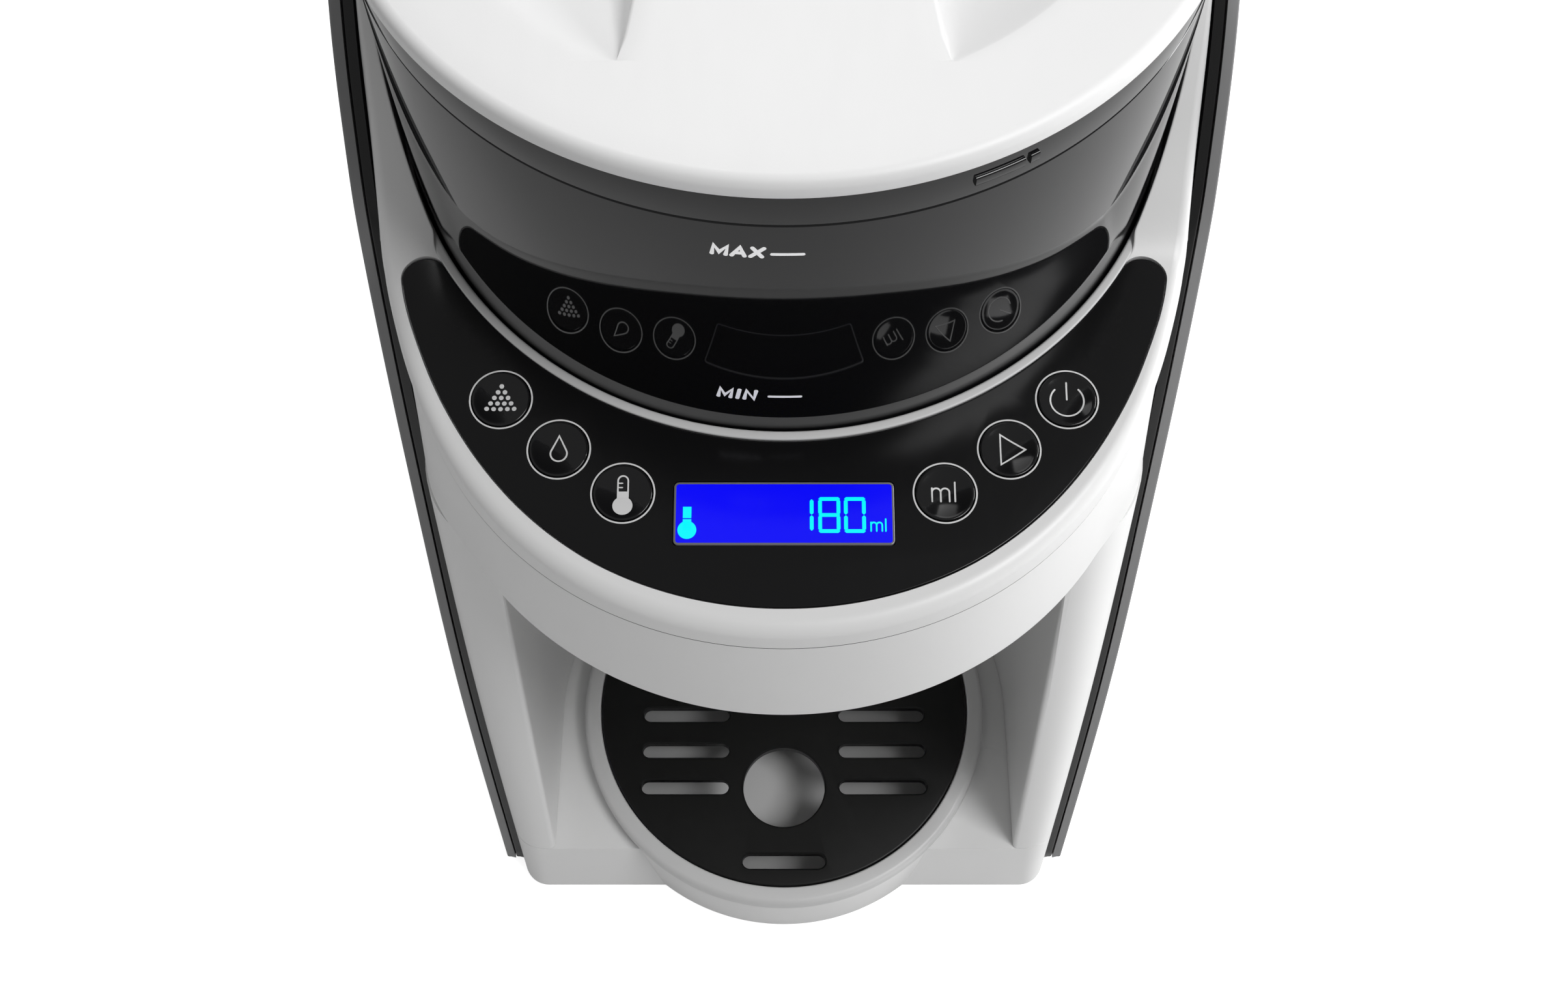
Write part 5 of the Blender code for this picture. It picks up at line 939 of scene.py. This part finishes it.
def curve(x, y, rx, ry, start, end, steps=24):
    """Points on part of an ellipse, angles in degrees."""
    turns = np.radians(np.linspace(start, end, steps + 1))
    return np.column_stack([x + rx * np.cos(turns), y + ry * np.sin(turns)])


def printed(name, strokes, place, finish, body):
    """Strokes in millimetres laid on a surface by the rule that places them."""
    scale = np.array([MM, MM, 1])
    grids = [(place(grid * scale), around, closed) for grid, around, closed in strokes]
    caps = [g[k] for g, around, _ in grids if not around for k in (0, -1)
            if np.ptp(g[k].reshape(-1, 3), axis=0).max() > 1e-4]
    piece(name, mesh_of(grids, caps), finish, body=body)


def ml_strokes(x, y, high, wide, line, tall):
    """The letters m and l: two arches on three stems, and a taller stem."""
    arch = wide / 4
    spring, last = y + high - arch, x + 1.32 * wide
    middle, end = x + 2 * arch, x + 4 * arch
    first = [(x, y), (x, spring), *curve(x + arch, spring, arch, arch, 180, 0), (middle, y)]
    second = [(middle, spring), *curve(middle + arch, spring, arch, arch, 180, 0), (end, y)]
    stems = [(x, y), (x, y + high)], [(last, y), (last, y + tall)]
    return [ribbon(points, line) for points in (stems[0], first, second, stems[1])]


def button_signs():
    """Each button's sign, drawn in strokes round its middle, in millimetres."""
    w = 0.40
    rows = ((3.46, 1), (1.98, 2), (0.54, 3), (-0.93, 4), (-2.41, 5))
    dots = [ribbon([(1.64 * (k - (n - 1) / 2), y)], 1.12) for y, n in rows for k in range(n)]
    belly = curve(0, -1.0, 1.95, 1.95, 155, 385, 40)
    drop = [ribbon(np.vstack([[(0, 3.45)], belly]), w, loop=True)]
    arch = np.vstack([[(-1.2, 0.3)], curve(0, 3.05, 1.2, 1.2, 180, 0), [(1.2, 0.3)]])
    thermometer = [ribbon([(0, -3.15)], 4.72), ribbon([(0, -3.0), (0, 0.45)], 2.76, ends="flat"),
                   ribbon(arch, 0.36, ends="flat"), ribbon([(-1.2, 2.5), (-0.15, 2.5)], 0.30),
                   ribbon([(-1.2, 1.45), (-0.15, 1.45)], 0.30)]
    triangle = [ribbon([(-2.04, 3.70), (-2.04, -3.85), (3.85, -0.05)], w, loop=True)]
    power = [ribbon(curve(0, -0.27, 4.0, 4.0, 135, 405, 60), w), ribbon([(0, 4.3), (0, 0.1)], w)]
    volume = ml_strokes(-3.09, -2.05, 3.3, 4.1, w, 4.7)
    signs = {"powder": dots, "water": drop, "temperature": thermometer, "volume": volume,
             "start": triangle, "power": power}
    for label, strokes in signs.items():
        x, y = BUTTONS[label]

        def place(grid, x=x, y=y):
            """Laid on the cap's dish, which falls off towards its middle."""
            z = grid[..., 2] + cap_height(grid[..., 0] ** 2 + grid[..., 1] ** 2)
            return on_deck(np.stack([grid[..., 0] + x, grid[..., 1] + y, z], -1))

        printed("sign_" + label, map(densified, strokes), place, PRINT_WHITE,
                HOMES["button_" + label])


def densified(stroke, most=0.35):
    """A stroke with cross-sections no further apart than the given length, so that it bends. Each
    stretch is cut into equal shares, as many as its longer side needs."""
    grid, around, closed = stroke
    ring = np.concatenate([grid, grid[:1]]) if around else grid
    lengths = np.linalg.norm(np.diff(ring, axis=0)[..., :2], axis=-1).max(1)
    counts = np.maximum(np.ceil(lengths / most), 1).astype(int)
    stretch = np.repeat(np.arange(len(counts)), counts)
    order = np.arange(1, len(stretch) + 1) - np.repeat(np.cumsum(counts) - counts, counts)
    t = (order / counts[stretch])[:, None, None]
    grid = np.concatenate([grid[:1], ring[stretch] * (1 - t) + ring[stretch + 1] * t])
    return (grid[:-1] if around else grid), around, closed


def panel_rings():
    """The printed ring round each button's hole."""
    circles = []
    for x, y in BUTTONS.values():
        points = arc_path(x / MM, y / MM, RING_RADIUS / MM, 96)[0]
        circles.append(ribbon(points, 0.38, loop=True, base=-PANEL_SINK))
    printed("panel_rings", circles, on_deck, PRINT_WHITE, "body")


def digit(x, y, wide, tall, lit, bar=0.90, gap=0.06):
    """Bars with pointed ends, named a to f clockwise from the top and g in the middle; lit names
    those that show."""
    far, high = (wide - bar) / 2, tall / 2
    ends = {name: [(gap - far, rise), (far - gap, rise)]
            for name, rise in (("a", high - bar / 2), ("g", 0), ("d", bar / 2 - high))}
    ends.update({name: [(sx * far, sy * (bar / 2 + gap)), (sx * far, sy * (high - bar - gap))]
                 for name, sx, sy in (("f", -1, 1), ("b", 1, 1), ("e", -1, -1), ("c", 1, -1))})
    return [ribbon(np.array(ends[name]) + (x, y), bar, ends="point") for name in lit]


def display():
    """The lit window with its clear bevelled edge, its thermometer sign and "180 ml"."""
    half_x, half_y, bevel = DISPLAY_WIDTH / 2, DISPLAY_HEIGHT / 2, DISPLAY_BEVEL
    edge = rounded([(bevel, DISPLAY_LOW), (0, DISPLAY_LOW), (0, DISPLAY_TOP), (bevel, DISPLAY_TOP)],
                   [0, 0, 0.3 * MM, 0], 4)
    grid = on_deck(carried(rounded_rectangle(0, DISPLAY_Y, half_x, half_y, DISPLAY_CORNER), edge))
    piece("display_edge", mesh_of([(grid, True, True)]), CLEAR_EDGE)
    window = rounded_rectangle(0, DISPLAY_Y, half_x - bevel, half_y - bevel, 0.8 * MM)
    mesh = slab(window, np.array([(0, DISPLAY_LOW), (0, DISPLAY_FACE)]), on_deck)
    piece("display_glass", mesh, SCREEN_BLUE, "display_window")
    strokes = [ribbon([(-22.6, -4.1)], 4.4), ribbon([(-22.6, -4.1), (-22.6, -1.46)], 1.98, ends="flat"),
               ribbon([(-22.6, -1.16), (-22.6, 1.6)], 1.98, ends="flat"), *digit(4.31, -0.41, 5.2, 8.83, "bc"),
               *digit(10.57, -0.41, 5.2, 8.83, "abcdefg"), *digit(16.55, -0.41, 5.12, 8.83, "abcdef"),
               *ml_strokes(20.27, -4.35, 2.1, 2.6, 0.38, 2.9)]
    printed("display_signs", strokes, lambda grid: on_deck(grid + (0, DISPLAY_Y, DISPLAY_FACE)),
            SCREEN_CYAN, "body")


def drum_signs():
    """The MAX and MIN lines on the drum's wall: letters of strokes bent round it."""
    def letters(text, x, tall, gap, line):
        """Letters of straight strokes, each leaning a little to the right."""
        shapes = {"M": (2.8, [[(0, 0), (0, 1), (0.5, 0.22), (1, 1), (1, 0)]]),
                  "A": (2.6, [[(0, 0), (0.5, 1), (1, 0)], [(0.2, 0.32), (0.8, 0.32)]]),
                  "X": (2.3, [[(0, 0), (1, 1)], [(0, 1), (1, 0)]]), "I": (0.0, [[(0, 0), (0, 1)]]),
                  "N": (2.2, [[(0, 0), (0, 1), (1, 0), (1, 1)]])}
        strokes = []
        for letter in text:
            wide, lines = shapes[letter]
            strokes += [ribbon([(x + px * wide + 0.16 * tall * pz, pz * tall) for px, pz in drawn], line)
                        for drawn in lines]
            x += wide + gap
        return strokes

    top = letters("MAX", -14.6, 2.95, 1.22, 0.95) + [ribbon([(-2.4, 1.0), (3.9, 1.0)], 0.80)]
    low = letters("MIN", -15.2, 3.75, 1.62, 0.95) + [ribbon([(-3.4, 1.5), (3.8, 1.5)], 0.76)]
    for name, strokes, height in (("sign_max", top, MAX_Z), ("sign_min", low, MIN_Z)):
        def place(grid, height=height):
            """Bent round the wall: the drawing's x runs along the circle, its y up the wall."""
            z = grid[..., 1] + height
            turn = grid[..., 0] / DRUM_RADIUS - math.pi / 2
            radius = drum_radius(z) + grid[..., 2]
            return np.stack([radius * np.cos(turn), radius * np.sin(turn), z], -1)

        printed(name, map(densified, strokes), place, DRUM_PRINT_PAINTED_GLOW, "container")


# Housing, base and side plates
def leg_section(z, inset, base=False):
    """The body's outline at a height, anticlockwise from the back left: sides, swept-back front
    corners, front flats and, between them, the bay's round wall."""
    rise = float(np.clip((z - FOOT_HEIGHT) / (HEAD_BOTTOM - FOOT_HEIGHT), 0, 1))
    side_y = max(float(np.interp(z, EDGE_Z, EDGE_Y)), NOSE_Y)
    flat_x, flat_y = FLAT_HALF - rise * FLAT_DRAW, FLAT_Y + rise * FLAT_LEAN
    back_y = BODY_BACK_Y - 0.03 if base else HOUSING_BACK_Y
    sides_y = np.linspace(back_y - 1.0 * MM, side_y, 26)
    side = np.column_stack([body_half(sides_y) - inset, sides_y])
    reach = side[-1, 0] - flat_x
    turns = quarter(15)[1:]
    corner = np.column_stack([flat_x + reach * np.cos(turns), side_y - (side_y - flat_y) * np.sin(turns)])
    if base:
        front = [np.column_stack([np.linspace(flat_x, 0, 14)[1:], np.full(13, flat_y)])]
    else:
        fall = 1 - np.column_stack([np.sin(quarter(5)), np.cos(quarter(5))])
        lip = np.array([BAY_MOUTH_HALF - 0.0012, flat_y]) + BAY_LIP * fall
        wall = np.linspace(lip[-1], (BAY_RADIUS, TRAY_Y), 10)[1:-1]
        front = [lip, wall, arc(0, TRAY_Y, BAY_RADIUS, 0, math.pi / 2, 48)[0]]
    right = np.vstack([[(side[0, 0] - 1.0 * MM, back_y)], side, corner, *front])
    return np.vstack([right, right[:-1][::-1] * np.array([-1, 1])])[::-1]


def lofted(heights, inset, base=False):
    """The body's outlines at heights joined into a solid, with a cap below and above."""
    outlines = [leg_section(z, inset, base) for z in heights]
    grid = np.stack([np.column_stack([line, np.full(len(line), z)]) for line, z in zip(outlines, heights)], 1)
    return mesh_of([(grid, True, False)], [grid[::-1, 0], grid[:, -1]])


def housing():
    """The two legs, the bay's wall between them and the box behind, hollow within."""
    low, top = BASE_TOP + GAP, SEAM_Z - GAP
    half = BODY_HALF - SHELL_INSET
    inner, wall_y = half - WALL, TRAY_Y + BAY_RADIUS + WALL
    upper = block((-half, RING_BACK_Y + GAP, HEAD_BOTTOM - 1.0 * MM), (half, HOUSING_BACK_Y, top))
    body = changed(lofted(np.linspace(low, HEAD_BOTTOM, 22), SHELL_INSET), [upper], "UNION")
    hollow = block((-inner, wall_y, low + WALL), (inner, HOUSING_BACK_Y + CUT, top + CUT))
    throat = block((-inner, RING_BACK_Y - CUT, HEAD_BOTTOM + WALL), (inner, wall_y + CUT, top + CUT))
    well = post(WELL_RADIUS, SOCKET_FLOOR_Z - GAP, top + 2 * CUT, steps=180)
    piece("legs_and_bay", changed(body, [hollow, throat, well]), WHITE, "housing")


def side_plate(name, side, inner, outer, finish, node):
    """A plate whose front and top edge is the swept line: columns run up from the bottom edge to
    that line, and the outer face follows the body's width."""
    length = np.concatenate([[0], np.cumsum(np.hypot(np.diff(EDGE_Y), np.diff(EDGE_Z)))])
    start = np.interp(PLATE_BOTTOM + 0.0015, EDGE_Z, length)
    at = np.linspace(start, length[-1], 130)
    y, top = np.interp(at, length, EDGE_Y)[:, None], np.interp(at, length, EDGE_Z)[:, None]
    slope = np.gradient(top[:, 0], y[:, 0])[:, None]
    lean = np.hstack([slope, -np.ones_like(slope)]) / np.hypot(slope, 1)
    turns = quarter(5)[None]
    shares = np.linspace(0, 1, 40)[None, 1:]
    fall = PLATE_SOFT * (1 - np.cos(turns))
    outside = (outer, y + lean[:, :1] * fall, top + lean[:, 1:] * fall, PLATE_SOFT * (1 - np.sin(turns)))
    inside = (inner, y + 0 * turns, top - np.linspace(0, 0.8, 5) * PLATE_SOFT, 0 * turns)
    faces = []
    for offset, edge_y, edge_z, depth in (outside, inside):
        across = np.hstack([edge_y, np.repeat(edge_y[:, -1:], shares.shape[1], 1)])
        z = np.hstack([edge_z, edge_z[:, -1:] + (PLATE_BOTTOM - edge_z[:, -1:]) * shares])
        depth = np.hstack([depth, 0 * shares])
        x = side * (body_half(across) - offset - depth)
        faces.append(np.stack([x, across, np.maximum(z, PLATE_BOTTOM)], -1))
    grid = np.concatenate([faces[0], faces[1][:, ::-1]], 1)
    piece(name, mesh_of([(grid, False, True)], [grid[0], grid[-1]]), finish, node)


def side_plates():
    """A gloss black trim and a grey panel on each side."""
    for label, side in (("left", -1), ("right", 1)):
        side_plate("trim_face_" + label, side, SHELL_INSET - GAP, SHELL_INSET - GAP - TRIM_THICK,
                   GLOSS_BLACK, "side_trim_" + label)
        side_plate("side_face_" + label, side, PANEL_THICK, 0.0, SIDE_GREY, "side_panel_" + label)


def base():
    """The foot: the legs' outline below, a round bulge under the tray and the tank's shelf."""
    low, high, radius = FOOT_HEIGHT, BASE_TOP, TRAY_RADIUS - GAP
    rim = rounded([(0, high), (radius, high), (radius, low), (0, low)], [0, 1.2 * MM, 0.6 * MM, 0], 5)
    side = rounded([(0.02, low), (0, low), (0, SHELF_TOP), (0.02, SHELF_TOP)],
                   [0, 0.5 * MM, 0.8 * MM, 0], 4)[1:-1]
    body = changed(lofted(np.linspace(low, high, 4), SHELL_INSET, True),
                   [mesh_of([turned(rim, 200, 0, TRAY_Y)]), slab(tank_path(), side)], "UNION")
    pocket = TRAY_RADIUS - TRAY_LIP - TRAY_LEDGE + GAP
    under = block((-BASE_HOLLOW_HALF, TRAY_Y + pocket + 1.5 * CUT, -1.0 * MM),
                  (BASE_HOLLOW_HALF, HOUSING_BACK_Y + 1.5 * CUT, high - WALL))
    body = changed(body, [post(pocket, TRAY_FLOOR - GAP, high + CUT, 0, TRAY_Y, 160),
                          post(SEAT_HOLE, SHELF_TOP - 3 * CUT, SHELF_TOP + CUT, 0, VALVE_Y),
                          block(*INLET_HOLE), under])
    piece("base_moulding", body, WHITE, "base")


def tank_path():
    """The tank from above: flat in front, with round back corners."""
    half, back, corner, small = BODY_HALF, BODY_BACK_Y, BACK_CORNER, 0.8 * MM
    front = HOUSING_BACK_Y + 2 * GAP
    return chained(
        arc(half - small, front + small, small, -math.pi / 2, 0, 4),
        straight((half, front + small), (half, back - corner), 8, (1, 0)),
        arc(half - corner, back - corner, corner, 0, math.pi / 2, 22),
        straight((half - corner, back), (corner - half, back), 20, (0, 1)),
        arc(corner - half, back - corner, corner, math.pi / 2, math.pi, 22),
        straight((-half, back - corner), (-half, front + small), 8, (-1, 0)),
        arc(small - half, front + small, small, math.pi, 3 * math.pi / 2, 4),
        straight((small - half, front), (half - small, front), 24, (0, -1)))


# Tray
def tray():
    """The round tray: a light rim on top, a ledge for the cover and a flat floor."""
    rim, lip, ledge = TRAY_RADIUS, TRAY_RADIUS - TRAY_LIP, TRAY_TOP - COVER_THICK - GAP
    body, under = lip - TRAY_LEDGE, BASE_TOP + GAP
    inner, floor = body - TRAY_WALL, TRAY_FLOOR + TRAY_WALL
    corners = [(0, TRAY_FLOOR), (body, TRAY_FLOOR), (body, under), (rim, under), (rim, TRAY_TOP),
               (lip, TRAY_TOP), (lip, ledge), (inner, ledge), (inner, floor), (0, floor)]
    radii = [0, 2 * MM, 0, 1.2 * MM, 1.9 * MM, 0.8 * MM, 0.2 * MM, 0.4 * MM, 2 * MM, 0]
    mesh = mesh_of([turned(rounded(corners, radii, 6), 300, 0, TRAY_Y)])
    piece("tray_bowl", mesh, LIGHT_GREY, "drip_tray")


def tray_cover():
    """The black cover: a flat disc with a soft edge, rows of round-ended slots, an end slot front
    and back and a round hole."""
    radius, low = TRAY_RADIUS - TRAY_LIP - GAP, TRAY_TOP - COVER_THICK
    profile = rounded([(0, TRAY_TOP), (radius, TRAY_TOP), (radius, low), (0, low)], [0, 0.6 * MM, 0, 0], 5)
    slots = [(side * SLOT_X, y, SLOT_REACH) for y in SLOT_ROWS_Y for side in (-1, 1)]
    slots += [(0.0, TRAY_Y + side * END_SLOT_Y, END_SLOT_REACH) for side in (-1, 1)]
    depth = np.array([(0, low - CUT), (0, TRAY_TOP - 0.5 * MM), (-SLOT_BEVEL, TRAY_TOP + 0.4 * MM),
                      (-SLOT_BEVEL, TRAY_TOP + CUT)])
    cutters = [slab(chained(arc(x + half, y, SLOT_ROUND, -math.pi / 2, math.pi / 2, 12),
                            arc(x - half, y, SLOT_ROUND, math.pi / 2, 3 * math.pi / 2, 12)), depth)
               for x, y, half in slots]
    cutters.append(slab(arc_path(0, BOTTLE_HOLE_Y, BOTTLE_HOLE_RADIUS, 96), depth))
    mesh = changed(mesh_of([turned(profile, 240, 0, TRAY_Y)]), cutters)
    piece("tray_cover", mesh, SATIN_BLACK, "drip_tray_cover")


# Tank
def tank():
    """The smoked tank: an upright wall on a floor, with the finger grip behind."""
    low = SHELF_TOP + GAP
    outer = rounded([(0.02, low), (0, low), (0, TANK_TOP), (TANK_WALL, TANK_TOP), (TANK_WALL, low + TANK_WALL),
                     (0.02, low + TANK_WALL)], [0, 1.2 * MM, 0.4 * MM, 0.4 * MM, 1.2 * MM, 0], 4)[1:-1]
    (x0, y0, z0), (x1, y1, z1) = TANK_GRIP
    keep = block((x0 - TANK_WALL, y0 - TANK_WALL, z0 - TANK_WALL),
                 (x1 + TANK_WALL, BODY_BACK_Y - 1.0 * MM, z1 + TANK_WALL))
    mesh = changed(slab(tank_path(), outer), [keep], "UNION")
    mesh = changed(mesh, [block(*TANK_GRIP), post(VALVE_HOLE, low - CUT, low + 2 * CUT, 0, VALVE_Y)])
    piece("tank_wall", mesh, TANK_SMOKE, "water_tank")


def tank_lid():
    """The tank's flat lid with a soft edge and a locating lip under it."""
    low, high, foot = TANK_TOP + GAP, TANK_LID_TOP, TANK_TOP + GAP - CAP_LIP
    near, far = TANK_WALL + GAP, 2 * TANK_WALL + GAP
    profile = rounded([(0.02, high), (0, high), (0, low), (near, low), (near, foot), (far, foot), (far, low),
                       (0.02, low)], [0, 1.4 * MM, 0.4 * MM, 0, 0.5 * MM, 0.5 * MM, 0, 0], 5)[1:-1]
    piece("tank_cap_plate", slab(tank_path(), profile), SATIN_BLACK, "tank_lid")


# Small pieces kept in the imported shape
def kept_pieces():
    """The hidden and small pieces: merged copies with soft edges where they show, and finishes
    for those that stay as packed."""
    shown = ((NYLON, 0.3, "funnel funnel_cover"), (NYLON, 0.5, "funnel_holder"), (WHITE, 0.2, "head_floor"),
             (WHITE, 0.6, "rear_cover"), (SATIN_BLACK, 0.4, "base_plate power_inlet"),
             (NYLON, 0.2, "water_nozzle"),
             (RUBBER, 0.4, "foot_front_left foot_front_right foot_back_left foot_back_right"),
             (SILICONE, 0, "lid_seal"), (NYLON, 0.4, "dosing_wheel"), (RUBBER, 0.2, "tank_seat"))
    for finish, bevel, nodes in shown:
        for node in nodes.split():
            piece(node + "_moulding", merged_copy(node, bevel * MM), finish, node)
    finishes = {"satin_black": SATIN_BLACK, "natural_nylon": NYLON, "silicone": SILICONE, "steel": STEEL,
                "circuit_board": BOARD_GREEN, "black_rubber": RUBBER, "white_shell": WHITE,
                "smoked_plastic": SMOKE, "light_grey": LIGHT_GREY, "side_grey": SIDE_GREY,
                "gloss_black": GLOSS_BLACK, "panel_black": PANEL_BLACK, "display_blue": SCREEN_BLUE}
    for node, thing in frame["nodes"].items():
        for place in thing.material_slots:
            place.material = finishes[SLOTS[node]]


# Studio
def studio():
    """A white floor that keeps the shadow, a pale world and soft lamps, the main one at the right."""
    finish = bpy.data.materials.new("white_floor")
    finish.use_nodes = True
    shader = finish.node_tree.nodes["Principled BSDF"].inputs
    shader["Base Color"].default_value = (0.82, 0.82, 0.82, 1.0)
    shader["Roughness"].default_value = 0.9
    shader["Emission Color"].default_value = (1, 1, 1, 1)
    light_path(finish.node_tree, "Is Camera Ray", 0.8, 0.0, shader["Emission Strength"])
    ground = bpy.data.meshes.new("floor")
    ground.from_pydata([(x, y, 0) for x, y in ((-6, -6), (6, -6), (6, 6), (-6, 6))], [], [(0, 1, 2, 3)])
    ground.materials.append(finish)
    placed("floor", ground)
    world = bpy.context.scene.world = bpy.data.worlds.new("studio")
    world.use_nodes = True
    sky = world.node_tree.nodes["Background"].inputs
    sky["Color"].default_value = (1, 1, 1, 1)
    light_path(world.node_tree, "Is Camera Ray", 0.75, 0.28, sky["Strength"])
    for name, place, size, power in (("key", (0.74, -0.46, 1.43), 0.6, 11.8),
                                     ("behind", (-0.05, 0.84, 1.45), 0.5, 5.5),
                                     ("side", (1.30, 0.25, 0.40), 0.5, 11.0)):
        data = bpy.data.lights.new(name, "AREA")
        data.shape, data.size, data.energy = "SQUARE", size, power
        lamp = placed(name, data)
        lamp.location = place
        x, y, z = np.array((0.0, -0.02, 0.2)) - place
        lamp.rotation_euler = (math.atan2(z, math.hypot(x, y)) + math.pi / 2, 0,
                               math.atan2(y, x) - math.pi / 2)


for make in (place_camera, powder_lid, drum, lock_marks, socket, top_shell, head_ring, seam_shade_strip,
             control_panel, button_caps, button_signs, panel_rings, display, drum_signs, housing, base,
             side_plates, tray, tray_cover, tank, tank_lid, kept_pieces, studio):
    make()

bpy.context.scene.view_settings.view_transform = "Standard"
